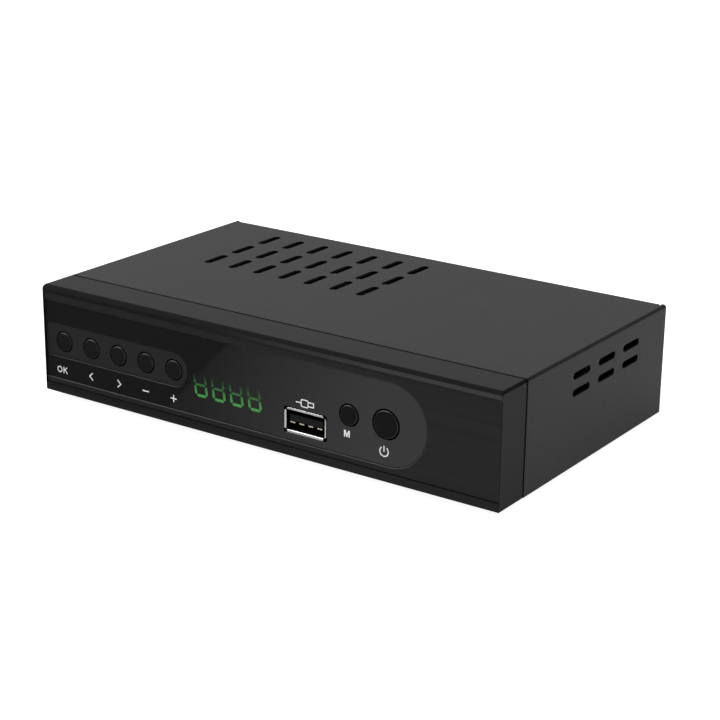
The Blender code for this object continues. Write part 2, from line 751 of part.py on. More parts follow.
def make_screw(name, head_r, head, shank_end, centre, plane, finish):
    """A pan-head screw: head holds where it begins and ends along the screw, shank_end its tip."""
    inward = 1 if shank_end > head[1] else -1
    profile = [
        (head_r * 0.72, head[0]),
        (head_r, head[0] + inward * 0.6),
        (head_r, head[1]),
        (SCREW_SHANK_R, head[1]),
        (SCREW_SHANK_R, shank_end - inward * 0.8),
        (SCREW_SHANK_R / 2, shank_end),
    ]
    shape = bmesh.new()
    turned(shape, profile, centre, 12, plane)
    screw = place(name, shape, finish)
    for half_u, half_v in ((1.4, 0.35), (0.35, 1.4)):
        outline = rectangle(
            (centre[0] - half_u, centre[1] - half_v), (centre[0] + half_u, centre[1] + half_v)
        )
        slot = bmesh.new()
        prism(slot, outline, head[0] - inward * 1, head[0] + inward * 0.8, plane)
        cut(screw, slot)


def make_screws(finish):
    names = ("front_left", "rear_left", "front_right", "rear_right")
    top = PARTS_Z + 1.8
    for end, centre in zip(names, STANDOFFS):
        name = f"board_screw_{end}"
        head, tip = (top, PARTS_Z - 0.05), 1.4
        make_screw(name, BOARD_SCREW_R, head, tip, centre, seen_from_above, finish)
    for side, x in zip(("left", "right"), COVER_SCREWS_X):
        name = f"cover_screw_{side}"
        head, tip = (CASE_D + 2.0, CASE_D + 0.1), CASE_D - 6
        make_screw(name, COVER_SCREW_R, head, tip, (x, COVER_SCREW_Z), seen_from_front, finish)


def make_block(name, low, size, finish):
    shape = bmesh.new()
    box(shape, low, [a + b for a, b in zip(low, size)])
    return place(name, shape, finish)


def make_chips(materials):
    blocks = {
        "system_chip": (SYSTEM_CHIP, "black_plastic"),
        "memory_chip": (MEMORY_CHIP, "black_plastic"),
        "flash_chip": (FLASH_CHIP, "black_plastic"),
        "crystal_can": (CRYSTAL_CAN, "bright_steel"),
        "power_inductor": (POWER_INDUCTOR, "ferrite"),
    }
    for name, ((corner, size), finish) in blocks.items():
        make_block(name, (*corner, PARTS_Z), size, materials[finish])
    for name, x, r, height in CAPACITORS:
        shape = bmesh.new()
        profile = [(r - 0.5, PARTS_Z), (r, PARTS_Z + 0.5), (r, PARTS_Z + height)]
        turned(shape, profile, (x, CAPACITOR_Y), 16, seen_from_above)
        place(f"{name}_capacitor", shape, materials["capacitor_sleeve"])


def make_heat_sink(finish):
    """A finned block centred over the system chip, a thermal pad's thickness above it."""
    (chip_x, chip_y), (chip_w, chip_d, chip_h) = SYSTEM_CHIP
    width = (FIN_COUNT - 1) * FIN_PITCH + FIN_W
    low = PARTS_Z + chip_h + 0.2
    base_top, fin_top = low + SINK_BASE, low + SINK_HEIGHT
    left = chip_x + (chip_w - width) / 2
    front = chip_y + (chip_d - SINK_LENGTH) / 2
    outline = [(left, low)]
    for k in range(FIN_COUNT):
        x = left + k * FIN_PITCH
        outline += [(x, fin_top), (x + FIN_W, fin_top)]
        if k < FIN_COUNT - 1:
            outline += [(x + FIN_W, base_top), (x + FIN_PITCH, base_top)]
    outline.append((left + width, low))
    shape = bmesh.new()
    prism(shape, outline, front, front + SINK_LENGTH, seen_from_front)
    place("heat_sink", shape, finish)


# --------------------------------------------------------------- rear sockets


def make_tuner(materials):
    can_back = REAR_WALL[0] - 1.6
    low = (TUNER_X, can_back - TUNER_SIZE[1], PARTS_Z)
    make_block("tuner_can", low, TUNER_SIZE, materials["bright_steel"])
    tip = CASE_D + SOCKET_REACH
    floor = tip - 8
    root = can_back + GAP
    step = REAR_WALL[1] + 0.8
    shoulder = [(0, root), (RF_COLLAR_R, root), (RF_COLLAR_R, step), (RF_TIP_R, step)]
    socket = [(RF_TIP_R, tip), (4.1, tip), (4.1, floor), (1.9, floor), (1.9, tip - 1), (0, tip - 1)]
    shape = bmesh.new()
    turned(shape, shoulder + socket, (RF_X[0], RF_Z), 20)
    place("aerial_in_socket", shape, materials["bright_steel"])
    collar = [(0, root), (RF_COLLAR_R, root), (RF_COLLAR_R, tip), (5.0, tip), (5.0, floor)]
    pin = [(1.2, floor), (1.2, tip - 0.8), (0, tip - 0.2)]
    shape = bmesh.new()
    turned(shape, collar + pin, (RF_X[1], RF_Z), 20)
    place("aerial_out_socket", shape, materials["bright_steel"])


def hdmi_outline(half_w, height, low):
    """A wide mouth with its two lower corners cut away."""
    corner = HDMI_CORNER
    return [
        (HDMI_X - half_w + corner, low),
        (HDMI_X + half_w - corner, low),
        (HDMI_X + half_w, low + corner),
        (HDMI_X + half_w, low + height),
        (HDMI_X - half_w, low + height),
        (HDMI_X - half_w, low + corner),
    ]


def make_hdmi(materials):
    wall = HDMI_WALL
    front, back = REAR_WALL[0] - 10.5, CASE_D + 0.6
    shape = bmesh.new()
    prism(shape, hdmi_outline(HDMI_HALF_W, HDMI_HEIGHT, PARTS_Z), front, back, seen_from_front)
    shell = place("hdmi_shell", shape, materials["bright_steel"])
    inside = hdmi_outline(HDMI_HALF_W - wall, HDMI_HEIGHT - 2 * wall, PARTS_Z + wall)
    mouth = bmesh.new()
    prism(mouth, inside, front + wall, back + 1, seen_from_front)
    cut(shell, mouth)
    low = (HDMI_X - HDMI_TONGUE[0] / 2, front + wall + GAP, PARTS_Z + 2.5)
    make_block("hdmi_tongue", low, HDMI_TONGUE, materials["black_plastic"])


def make_scart(materials):
    front, back = REAR_WALL[0] - 11, CASE_D + 1.5
    low, high, half_w = PARTS_Z, PARTS_Z + SCART_HEIGHT, SCART_HALF_W
    outline = [
        (SCART_X - half_w, low),
        (SCART_X + half_w, low),
        (SCART_X + half_w, high),
        (SCART_X - half_w + SCART_CORNER, high),
        (SCART_X - half_w, high - SCART_CORNER),
    ]
    shape = bmesh.new()
    prism(shape, outline, front, back, seen_from_front)
    socket = place("scart_socket", shape, materials["black_plastic"])
    slots = bmesh.new()
    half_w, half_h = SCART_SLOT[0] / 2, SCART_SLOT[1] / 2
    for row, rise in enumerate(SCART_ROWS):
        z = low + rise
        for k in range(SCART_PINS):
            x = SCART_X - 18.0 + SCART_PITCH * (k + row / 2)
            box(slots, (x - half_w, back - 8, z - half_h), (x + half_w, back + 1, z + half_h))
    cut(socket, slots)


def make_small_sockets(materials):
    body_front = REAR_WALL[0] - 10
    body_back = REAR_WALL[0] - GAP
    tip = CASE_D + SOCKET_REACH - 0.8
    shape = bmesh.new()
    box(shape, (COAX_X - 5, body_front, PARTS_Z), (COAX_X + 5, body_back, PARTS_Z + 12.2))
    jack = place("coax_audio_socket", shape, materials["coax_insert"])
    barrel = bmesh.new()
    cylinder(barrel, (COAX_X, COAX_Z), COAX_R, body_back - 1, tip, 20)
    join(jack, barrel)
    bore = bmesh.new()
    cylinder(bore, (COAX_X, COAX_Z), COAX_BORE_R, tip - 8, tip + 1, 12)
    cut(jack, bore)

    tip = CASE_D + 0.8
    shape = bmesh.new()
    box(shape, (POWER_IN_X - 4.5, body_front, PARTS_Z), (POWER_IN_X + 4.5, body_back, PARTS_Z + 11))
    inlet = place("power_inlet", shape, materials["black_plastic"])
    barrel = bmesh.new()
    cylinder(barrel, (POWER_IN_X, POWER_IN_Z), POWER_IN_R, body_back - 1, tip, 20)
    join(inlet, barrel)
    mouth_r, pin_r, floor = POWER_IN_MOUTH_R, POWER_IN_PIN_R, tip - 8
    mouth = [(0, tip + 1), (mouth_r, tip + 1), (mouth_r, floor)]
    pin = [(pin_r, floor), (pin_r, tip - 0.6), (0, tip - 0.3)]
    bore = bmesh.new()
    turned(bore, mouth + pin, (POWER_IN_X, POWER_IN_Z), 16)
    cut(inlet, bore)


# ----------------------------------------------------------------- assembly


def clear_scene():
    for old in list(bpy.data.objects):
        bpy.data.objects.remove(old, do_unlink=True)


def main():
    clear_scene()
    materials = make_materials()
    make_top_cover(materials["painted_steel"])
    make_base_chassis(materials["painted_steel"])
    make_feet(materials["rubber"])
    make_front_bezel(materials["bezel_plastic"])
    make_fascia_plate(materials["fascia"])
    make_display_lens(materials["smoked_lens"])
    make_keys(materials)
    make_digit_display(materials["black_plastic"])
    make_ir_receiver(materials["black_plastic"])
    make_usb_port(materials)
    make_front_board(materials["board"])
    make_board_header(materials["black_plastic"])
    make_main_board(materials["board"])
    make_screws(materials["screw_steel"])
    make_chips(materials)
    make_heat_sink(materials["aluminium"])
    make_tuner(materials)
    make_hdmi(materials)
    make_scart(materials)
    make_small_sockets(materials)


main()
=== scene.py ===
"""Looks of a television receiver box: folded steel cover, moulded front, glossy control panel, sockets.

Shapes are drawn in millimetres from the case's front, left, bottom corner, as the CAD model is: x
to the right, y to the rear, z up. in_frame turns such a place into metres in the frame that the CAD
nodes share.
"""

import math

import bmesh
import bpy
from mathutils import Matrix, Vector


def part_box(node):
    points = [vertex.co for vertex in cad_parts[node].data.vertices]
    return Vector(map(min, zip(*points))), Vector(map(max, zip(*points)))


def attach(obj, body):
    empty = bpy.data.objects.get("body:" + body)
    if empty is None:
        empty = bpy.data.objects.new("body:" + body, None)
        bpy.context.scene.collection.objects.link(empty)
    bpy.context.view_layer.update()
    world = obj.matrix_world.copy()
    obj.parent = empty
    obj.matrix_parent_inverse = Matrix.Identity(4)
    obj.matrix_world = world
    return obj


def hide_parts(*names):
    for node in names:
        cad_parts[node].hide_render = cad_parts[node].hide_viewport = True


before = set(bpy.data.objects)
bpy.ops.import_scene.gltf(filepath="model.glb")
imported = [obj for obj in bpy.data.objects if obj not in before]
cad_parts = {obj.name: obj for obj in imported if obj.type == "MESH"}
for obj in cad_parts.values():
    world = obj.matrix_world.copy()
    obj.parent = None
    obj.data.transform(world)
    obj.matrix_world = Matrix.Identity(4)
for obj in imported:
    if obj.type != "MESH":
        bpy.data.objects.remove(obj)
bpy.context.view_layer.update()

MM = 0.001
CASE_LOW = -0.4
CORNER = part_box("front_bezel")[0] - Vector((0.0, 0.0, CASE_LOW * MM))


def in_frame(place):
    return CORNER + Vector(place) * MM


def extent(node):
    """A CAD node's lowest and highest corners, in case millimetres."""
    low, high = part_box(node)
    return (low - CORNER) / MM, (high - CORNER) / MM


def middle(node):
    low, high = extent(node)
    return (low + high) / 2


# Driving dimensions: the frame gives some, and the rest are as in the CAD model
BEZEL = extent("front_bezel")
COVER = extent("top_cover")
FASCIA = extent("fascia_plate")
LENS = extent("display_lens")
CHASSIS = extent("base_chassis")
USB = extent("usb_shell")
DISPLAY = extent("digit_display")
CASE_W = BEZEL[1].x
CASE_D = COVER[1].y
CASE_H = BEZEL[1].z
FOOT_H = -extent("foot_front_left")[0].z
BEZEL_D = 12.0
SHEET = 0.8
BEND_R = 0.9
GAP = 0.3
LIP_DROP, LIP_REACH = 1.1, 1.5
LOW_EDGE_R, SIDE_EDGE_R = 0.5, 0.1
POCKET_EDGE = 0.25
POCKET_LOW, POCKET_HIGH = 2.2, 30.0
POCKET_FLOOR = 2.6
WALL_BACK = 4.2
LENS_POCKET_FLOOR = 1.7
PANEL_R = 5.2
PANEL_SINK = 0.25
CAP_CLEARANCE = 0.4
FLANGE = 0.8
WINDOW_CLEARANCE = 0.4
LIP_LOW = 24.9
LIP_HALF = CASE_W / 2 - 2.0
FRONT_ROW_Z = (LENS[0].z + LENS[1].z) / 2
LENS_R = (LENS[1].z - LENS[0].z) / 2
LENS_END_X = LENS[1].x - LENS_R
SENSOR = middle("ir_receiver")
SENSOR_Z, SENSOR_HOLE_R = 22.5, 2.6
RIM_END = BEZEL_D + 4.0
LUGS_X = (36.0, CASE_W - 36.0)
LUG_Y = (BEZEL_D + 1.3, BEZEL_D + 2.9)
LUG_HALF_W = 3.0
KEYS = ("ok", "left", "right", "minus", "plus", "menu", "power")
ROW_KEYS = KEYS[:5]

# Vents, as in the CAD model
TOP_VENTS = [(23.9 + 9.37 * column, y) for column in range(7) for y in (51.1, 64.4, 78.0)]
TOP_VENT = (10.05, 2.5)
SIDE_VENTS = [(41.5 + 14.2 * column, z) for column in range(3) for z in (21.0, 25.8)]
SIDE_VENT = (9.3, 2.0)
COVER_SCREWS_X = (12.0, CASE_W - 12.0)
COVER_SCREW_Z = 28.3


# Outlines, 2-D


def arc(centre, radii, start, end, steps):
    """Points along an elliptical arc, in degrees, both ends included."""
    (u, v), (across, up) = centre, radii
    angles = [math.radians(start + (end - start) * k / steps) for k in range(steps + 1)]
    return [(u + across * math.cos(a), v + up * math.sin(a)) for a in angles]


def circle(centre, r, steps=64):
    return arc(centre, (r, r), 0, 360, steps)[:-1]


def rounded(low, high, r, steps=6):
    """A rectangle with round corners, from its two opposite corners."""
    places = (
        (high[0] - r, high[1] - r),
        (low[0] + r, high[1] - r),
        (low[0] + r, low[1] + r),
        (high[0] - r, low[1] + r),
    )
    outline = []
    for k, centre in enumerate(places):
        outline += arc(centre, (r, r), 90 * k, 90 * k + 90, steps)
    return outline


def slot_outline(centre, length, width, steps=12):
    """A round-ended slot that runs along the first of its two directions."""
    r = width / 2
    reach = length / 2 - r
    right = arc((centre[0] + reach, centre[1]), (r, r), -90, 90, steps)
    left = arc((centre[0] - reach, centre[1]), (r, r), 90, 270, steps)
    return right + left


def upright_slot(centre, length, width):
    return [(centre[0] + v, centre[1] + u) for u, v in slot_outline((0, 0), length, width)]


def half_pill(left, end_x, r, steps=48):
    """A strip along the front row that is square at its left end and round at its right end."""
    cap = arc((end_x, FRONT_ROW_Z), (r, r), -90, 90, steps)
    return cap + [(left, FRONT_ROW_Z + r), (left, FRONT_ROW_Z - r)]


def stroke(points, width):
    """The outline of a pen line through points, mitred at its corners and square at its ends."""
    half = width / 2
    left, right = [], []
    for k, point in enumerate(points):
        before = points[max(k - 1, 0)]
        after = points[min(k + 1, len(points) - 1)]
        here = Vector(point)
        arriving = (here - Vector(before)) if k > 0 else (Vector(after) - here)
        leaving = (Vector(after) - here) if k < len(points) - 1 else arriving
        arriving.normalize()
        leaving.normalize()
        across = Vector((-arriving.y - leaving.y, arriving.x + leaving.x)).normalized()
        reach = half / max(0.3, across.dot(Vector((-arriving.y, arriving.x))))
        left.append(tuple(here + across * reach))
        right.append(tuple(here - across * reach))
    return left + right[::-1]


# Planes to draw an outline in. Each takes the outline's two values and the depth's.


def seen_from_front(u, v, along):
    return (u, along, v)


def seen_from_side(u, v, along):
    return (along, u, v)


def seen_from_above(u, v, along):
    return (u, v, along)


# Shapes


def bridge(shape, one, other):
    """Faces between two rings of vertices, either of which may be a single point."""
    count = max(len(one), len(other))
    for k in range(count):
        n = (k + 1) % count
        if len(one) == 1:
            shape.faces.new((one[0], other[k], other[n]))
        elif len(other) == 1:
            shape.faces.new((one[k], other[0], one[n]))
        else:
            shape.faces.new((one[k], other[k], other[n], one[n]))


def loft(sections):
    """A closed solid through sections of equal point count, capped at both ends."""
    shape = bmesh.new()
    rings = [[shape.verts.new(point) for point in section] for section in sections]
    for one, other in zip(rings, rings[1:]):
        bridge(shape, one, other)
    for end in (rings[0], rings[-1]):
        if len(end) > 1:
            shape.faces.new(end)
    bmesh.ops.recalc_face_normals(shape, faces=shape.faces)
    return shape


def prism(outline, start, end, plane):
    return loft([[plane(u, v, along) for u, v in outline] for along in (start, end)])


def box(low, high):
    outline = [(low[0], low[1]), (high[0], low[1]), (high[0], high[1]), (low[0], high[1])]
    return prism(outline, low[2], high[2], seen_from_above)


def turned(profile, centre, segments=64, plane=seen_from_front):
    """A solid turned about a line through centre. A profile holds (radius, place along it)."""
    sections = []
    for radius, along in profile:
        if radius == 0:
            sections.append([plane(*centre, along)])
        else:
            sections.append([plane(u, v, along) for u, v in circle(centre, radius, segments)])
    return loft(sections)


def several(shapes):
    """One shape that holds several separate ones."""
    whole = bmesh.new()
    for shape in shapes:
        mesh = bpy.data.meshes.new("part")
        shape.to_mesh(mesh)
        shape.free()
        whole.from_mesh(mesh)
        bpy.data.meshes.remove(mesh)
    return whole


def evaluated(holder):
    """The mesh that an object makes with its modifiers, as a shape. The object is removed."""
    bpy.context.scene.collection.objects.link(holder)
    seen = holder.evaluated_get(bpy.context.evaluated_depsgraph_get())
    mesh = bpy.data.meshes.new_from_object(seen)
    shape = bmesh.new()
    shape.from_mesh(mesh)
    bpy.data.meshes.remove(mesh)
    bpy.data.objects.remove(holder)
    return shape


def plate(outline, holes, thickness, edge, edge_steps=2):
    """A flat sheet with rounded edges: its points are (u, v, depth below its face)."""
    curve = bpy.data.curves.new("plate", "CURVE")
    curve.dimensions = "2D"
    curve.fill_mode = "BOTH"
    curve.extrude = thickness / 2 - edge
    curve.bevel_depth = edge
    curve.bevel_resolution = edge_steps
    curve.offset = -edge
    for ring in [outline, *holes]:
        spline = curve.splines.new("POLY")
        spline.points.add(len(ring) - 1)
        for point, (u, v) in zip(spline.points, ring):
            point.co = (u, v, 0.0, 1.0)
        spline.use_cyclic_u = True
    shape = evaluated(bpy.data.objects.new("plate", curve))
    bmesh.ops.remove_doubles(shape, verts=shape.verts, dist=0.0005)
    for vertex in shape.verts:
        vertex.co.z = thickness / 2 - vertex.co.z
    return shape


def mapped(shape, function):
    """Moves each point of a shape to where a function of its three values says."""
    for vertex in shape.verts:
        vertex.co = function(*vertex.co)
    bmesh.ops.recalc_face_normals(shape, faces=shape.faces)
    return shape


def score(shape, place, normal):
    """Divides the faces that a plane crosses, so that a sheet can bend there."""
    geometry = shape.verts[:] + shape.edges[:] + shape.faces[:]
    bmesh.ops.bisect_plane(shape, geom=geometry, plane_co=place, plane_no=normal, dist=1e-4)


def front_plate(outline, holes, front, back, edge, edge_steps=2):
    shape = plate(outline, holes, back - front, edge, edge_steps)
    return mapped(shape, lambda u, v, depth: (u, front + depth, v))


def combined(shape, other, operation):
    """A shape with another joined to it or cut away, by an exact Boolean."""
    holders = []
    for part in (shape, other):
        mesh = bpy.data.meshes.new("part")
        part.to_mesh(mesh)
        part.free()
        holders.append(bpy.data.objects.new("part", mesh))
    target, helper = holders
    bpy.context.scene.collection.objects.link(helper)
    step = target.modifiers.new("step", "BOOLEAN")
    step.operation = operation
    step.solver = "EXACT"
    step.object = helper
    result = evaluated(target)
    bpy.data.objects.remove(helper)
    bmesh.ops.remove_doubles(result, verts=result.verts, dist=0.0005)
    return result


def cut(shape, other):
    return combined(shape, other, "DIFFERENCE")


def join(shape, other):
    return combined(shape, other, "UNION")


def soften(shape, width, where=None, segments=2, sharper_than=30):
    """Rounds a shape's sharp edges, or only those whose middle a test picks."""
    limit = math.radians(sharper_than)
    bmesh.ops.dissolve_limit(
        shape, angle_limit=math.radians(0.5), verts=shape.verts, edges=shape.edges
    )
    edges = [
        edge
        for edge in shape.edges
        if len(edge.link_faces) == 2
        and edge.calc_face_angle(0.0) > limit
        and (where is None or where((edge.verts[0].co + edge.verts[1].co) / 2))
    ]
    kind = {"offset_type": "OFFSET", "profile": 0.5, "affect": "EDGES", "clamp_overlap": True}
    bmesh.ops.bevel(shape, geom=edges, offset=width, segments=segments, **kind)
    return shape


# Materials


class Nodes:
    """Builds a node tree: a new material's, or the one it is given."""

    def __init__(self, name, tree=None):
        self.name = name
        self.tree = tree
        if tree is None:
            self.material = bpy.data.materials.new(f"{name}_look")
            self.material.use_nodes = True
            self.tree = self.material.node_tree
            self.shader = self.tree.nodes["Principled BSDF"]

    def feed(self, socket, value):
        """Gives an input a value of its own or another node's output."""
        if isinstance(value, bpy.types.NodeSocket):
            self.tree.links.new(value, socket)
        else:
            socket.default_value = value

    def add(self, kind, inputs=None, **settings):
        node = self.tree.nodes.new(kind)
        for key, value in settings.items():
            setattr(node, key, value)
        for key, value in (inputs or {}).items():
            self.feed(node.inputs[key], value)
        return node

    def set(self, key, value):
        self.feed(self.shader.inputs[key], value)

    def calc(self, operation, *values):
        return self.add("ShaderNodeMath", dict(enumerate(values)), operation=operation).outputs[0]

    def parts(self, vector):
        return self.add("ShaderNodeSeparateXYZ", {"Vector": vector}).outputs

    def places(self, stretch=(1.0, 1.0, 1.0)):
        """Object coordinates, scaled along each axis."""
        coordinates = self.add("ShaderNodeTexCoord").outputs["Object"]
        mapping = self.add("ShaderNodeMapping", {"Vector": coordinates, "Scale": stretch})
        return mapping.outputs["Vector"]

    def noise(self, scale, detail=3.0, stretch=(1.0, 1.0, 1.0)):
        inputs = {"Vector": self.places(stretch), "Scale": scale, "Detail": detail}
        return self.add("ShaderNodeTexNoise", inputs).outputs["Fac"]

    def ranged(self, value, low, high, source=(0.3, 0.7)):
        ends = {"From Min": source[0], "From Max": source[1], "To Min": low, "To Max": high}
        return self.add("ShaderNodeMapRange", {"Value": value, **ends}).outputs["Result"]

    def blend(self, factor, one, other):
        node = self.add("ShaderNodeMix", {"Factor": factor}, data_type="RGBA")
        for socket, colour in ((node.inputs[6], one), (node.inputs[7], other)):
            self.feed(socket, (*colour, 1.0) if isinstance(colour, tuple) else colour)
        return node.outputs[2]

    def bump(self, height, strength, distance):
        inputs = {"Height": height, "Strength": strength, "Distance": distance}
        self.set("Normal", self.add("ShaderNodeBump", inputs).outputs["Normal"])

    def facing(self):
        """The surface's direction: its x, y and z."""
        return self.parts(self.add("ShaderNodeNewGeometry").outputs["Normal"])

    def paint_shade(self, where, level, gloss_left):
        """Paints shade where a mask says: changes the colour to a grey and leaves only a share of the
        gloss.
        """
        colour = self.shader.inputs["Base Color"].links[0].from_socket
        self.set("Base Color", self.blend(where, colour, grey(level)))
        gloss = self.shader.inputs["Specular IOR Level"]
        present = gloss.links[0].from_socket if gloss.is_linked else gloss.default_value
        kept = self.ranged(where, 1.0, gloss_left, (0.0, 1.0))
        self.set("Specular IOR Level", self.calc("MULTIPLY", kept, present))

    def on_bends(self):
        """1 on rounded edges, which face along none of the three axes, and 0 elsewhere."""
        largest = 0.0
        for part in self.facing():
            largest = self.calc("MAXIMUM", self.calc("ABSOLUTE", part), largest)
        return self.ranged(largest, 1.0, 0.0, (0.96, 0.998))


def grey(level):
    return (level, level, level)


def shade(colour, factor):
    return tuple(channel * factor for channel in colour)


def grained(
    name, colour, roughness, specular=0.5, metallic=0.0, grain=1500.0, depth=0.00003, spread=0.06
):
    """Moulded, painted or rubber surfaces: a fine grain, and a slow change of tone and gloss."""
    made = Nodes(name)
    slow = made.noise(60.0, 2.0)
    fine = made.noise(grain, 3.0)
    tone = made.ranged(slow, 0.0, 1.0)
    made.set("Base Color", made.blend(tone, shade(colour, 1 - spread), shade(colour, 1 + spread)))
    made.set("Roughness", made.ranged(fine, roughness - 0.04, roughness + 0.04))
    made.set("Metallic", metallic)
    made.set("Specular IOR Level", specular)
    made.bump(fine, 0.35, depth)
    return made


def brushed(name, colour, roughness, metallic, specular, stretch, depth=0.00001, spread=0.1):
    """Surfaces with fine parallel lines along one direction."""
    made = Nodes(name)
    lines = made.noise(1.0, 2.0, stretch)
    tone = made.ranged(lines, 0.0, 1.0)
    made.set("Base Color", made.blend(tone, shade(colour, 1 - spread), shade(colour, 1 + spread)))
    made.set("Roughness", made.ranged(lines, roughness - 0.06, roughness + 0.06))
    made.set("Metallic", metallic)
    made.set("Specular IOR Level", specular)
    made.bump(lines, 0.3, depth)
    return made


def seam_reach(reach):
    """From a little way off the seam to nearer its edge, in frame y: the span over which the painted
    shadow line along the seam fades in.
    """
    edge = BEZEL_D if reach < 0 else COVER[0].y
    return tuple(in_frame((0.0, edge + part * reach, 0.0)).y for part in (1.0, 0.5))


def bezel_plastic(name):
    """Satin moulded plastic: the upper lip of its front face is polished; its round edges carry painted
    shade, and a painted shadow line runs along the seam.
    """
    made = grained(name, grey(0.012), 0.42, grain=2600.0, depth=0.00002)
    place = made.parts(made.places())
    lip = in_frame((0.0, 0.05, POCKET_HIGH - 0.6))
    ahead = made.ranged(place["Y"], 1.0, 0.0, (lip.y, lip.y + 0.12 * MM))
    above = made.ranged(place["Z"], 0.0, 1.0, (lip.z, lip.z + 0.3 * MM))
    polished = made.calc("MULTIPLY", ahead, above)
    made.set("Specular IOR Level", made.ranged(polished, 0.12, 0.55, (0.0, 1.0)))
    made.set("Roughness", made.ranged(polished, 0.42, 0.24, (0.0, 1.0)))
    # Painted shade: rounded edges take a flat dark grey and lose nearly all their gloss.
    made.paint_shade(made.on_bends(), 0.0125, 0.06)
    # Painted shadow: a dark line along the seam, where the bezel meets the cover.
    made.paint_shade(made.ranged(place["Y"], 0.0, 1.0, seam_reach(-0.4)), 0.008, 0.25)
    return made


def painted_steel(name):
    """Black powder coat, with painted shade on the bends and on edges that face forwards, and a painted
    shadow line along the seam.
    """
    made = grained(name, grey(0.018), 0.5, specular=0.3, grain=2200.0)
    # Painted shade: rounded bends take a darker grey and keep less than half their gloss.
    made.paint_shade(made.on_bends(), 0.014, 0.42)
    # Painted shade: edges that face forwards, in the seam and the vents, are turned nearly black with
    # no gloss.
    made.paint_shade(made.ranged(made.facing()["Y"], 1.0, 0.0, (-0.9, -0.6)), 0.001, 0.0)
    place = made.parts(made.places())
    # Painted shadow: a dark line along the seam, where the cover meets the bezel.
    made.paint_shade(made.ranged(place["Y"], 0.0, 1.0, seam_reach(0.4)), 0.009, 0.25)
    return made


def key_plastic(name, level):
    """Black caps: matt in front, and polished where the rim turns away from the front."""
    made = grained(name, grey(level), 0.35, grain=2600.0, depth=0.00001)
    made.set("Specular IOR Level", made.ranged(made.facing()["Y"], 0.04, 0.5, (-0.97, -0.8)))
    return made


def glossy_lens(name):
    """Smoked acrylic: dark and mirror-like, with faint smears in its gloss."""
    made = Nodes(name)
    smear = made.noise(35.0, 4.0, (1.0, 1.0, 2.5))
    made.set("Base Color", (*grey(0.0125), 1.0))
    made.set("Roughness", made.ranged(smear, 0.042, 0.078))
    made.set("IOR", 1.49)
    return made


def brushed_fascia(name):
    """Finely brushed and matt, with a polished bevel."""
    made = brushed(name, grey(0.0215), 0.5, 0.0, 0.04, (8.0, 900.0, 900.0), 0.000004)
    made.set("Specular IOR Level", made.ranged(made.on_bends(), 0.04, 0.6, (0.0, 1.0)))
    return made


def lit_segments(name):
    """Green digit segments under the lens, bright at their foot and fading out at their top."""
    made = glossy_lens(name)
    height = made.parts(made.places())["Z"]
    bright_below = in_frame(DISPLAY[0]).z + 2.5 * MM
    gone_above = in_frame(DISPLAY[1]).z - 2.2 * MM
    fade = made.ranged(height, 1.0, 0.0, (bright_below, gone_above))
    made.set("Emission Color", (0.16, 1.0, 0.17, 1.0))
    made.set("Emission Strength", made.calc("MULTIPLY", made.calc("POWER", fade, 1.4), 0.27))
    return made


def circuit_board(name):
    """Green solder mask over paler copper tracks."""
    made = Nodes(name)
    tracks = made.add(
        "ShaderNodeTexBrick",
        {
            "Vector": made.places((90.0, 90.0, 90.0)),
            "Scale": 1.0,
            "Mortar Size": 0.045,
            "Brick Width": 0.9,
            "Row Height": 0.16,
            "Color1": (0.006, 0.07, 0.022, 1.0),
            "Color2": (0.008, 0.085, 0.028, 1.0),
            "Mortar": (0.02, 0.15, 0.05, 1.0),
        },
    )
    made.set("Base Color", tracks.outputs["Color"])
    made.set("Roughness", made.ranged(made.noise(300.0), 0.32, 0.42))
    made.bump(tracks.outputs["Fac"], 0.3, 0.00004)
    return made


def make_materials():
    along_x = (8.0, 900.0, 900.0)
    made = [
        painted_steel("painted_steel"),
        bezel_plastic("bezel_plastic"),
        brushed_fascia("fascia"),
        glossy_lens("smoked_lens"),
        lit_segments("lit_segment"),
        grained("key_panel", grey(0.022), 0.5, specular=0.1, grain=2600.0, depth=0.00001),
        # The row caps and the round caps are one plastic: the row caps' lighter tone is painted light,
        # and the round caps' darker tone is painted shade.
        key_plastic("row_cap_plastic_painted_light", 0.0118),
        key_plastic("round_cap_plastic_painted_shade", 0.0075),
        grained("ink", grey(0.85), 0.45, grain=2000.0, depth=0.000003, spread=0.02),
        grained("black_plastic", grey(0.013), 0.45, grain=2000.0, depth=0.00002),
        grained("port_plastic", grey(0.007), 0.6, specular=0.15, grain=2000.0, depth=0.00001),
        grained("rubber", grey(0.02), 0.8, specular=0.25, grain=1800.0, depth=0.00004),
        brushed("bright_steel", grey(0.72), 0.28, 1.0, 0.5, (900.0, 8.0, 900.0)),
        # Painted shade: this steel is coloured nearly black, so that the inside of the USB port looks
        # shaded.
        brushed("painted_shade_steel", grey(0.02), 0.6, 1.0, 0.5, (900.0, 8.0, 900.0)),
        brushed("switch_steel", grey(0.5), 0.35, 1.0, 0.5, along_x),
        brushed("screw_steel", grey(0.1), 0.35, 1.0, 0.5, (300.0, 300.0, 300.0)),
        # Painted shade: the heat sink's aluminium is coloured far darker than bare metal, so that the
        # vents look shaded inside.
        brushed("aluminium", grey(0.05), 0.6, 1.0, 0.5, (900.0, 8.0, 900.0)),
        grained("gold", (0.92, 0.84, 0.62), 0.3, metallic=1.0, grain=900.0, depth=0.000005),
        grained("ferrite", grey(0.06), 0.7, grain=900.0),
        grained("capacitor_sleeve", (0.01, 0.012, 0.03), 0.35, grain=900.0, depth=0.00001),
        grained("coax_insert", (0.75, 0.2, 0.02), 0.4, grain=1200.0, depth=0.00001),
        circuit_board("board"),
    ]
    return {one.name: one.material for one in made}


MATERIALS = make_materials()


# Pieces


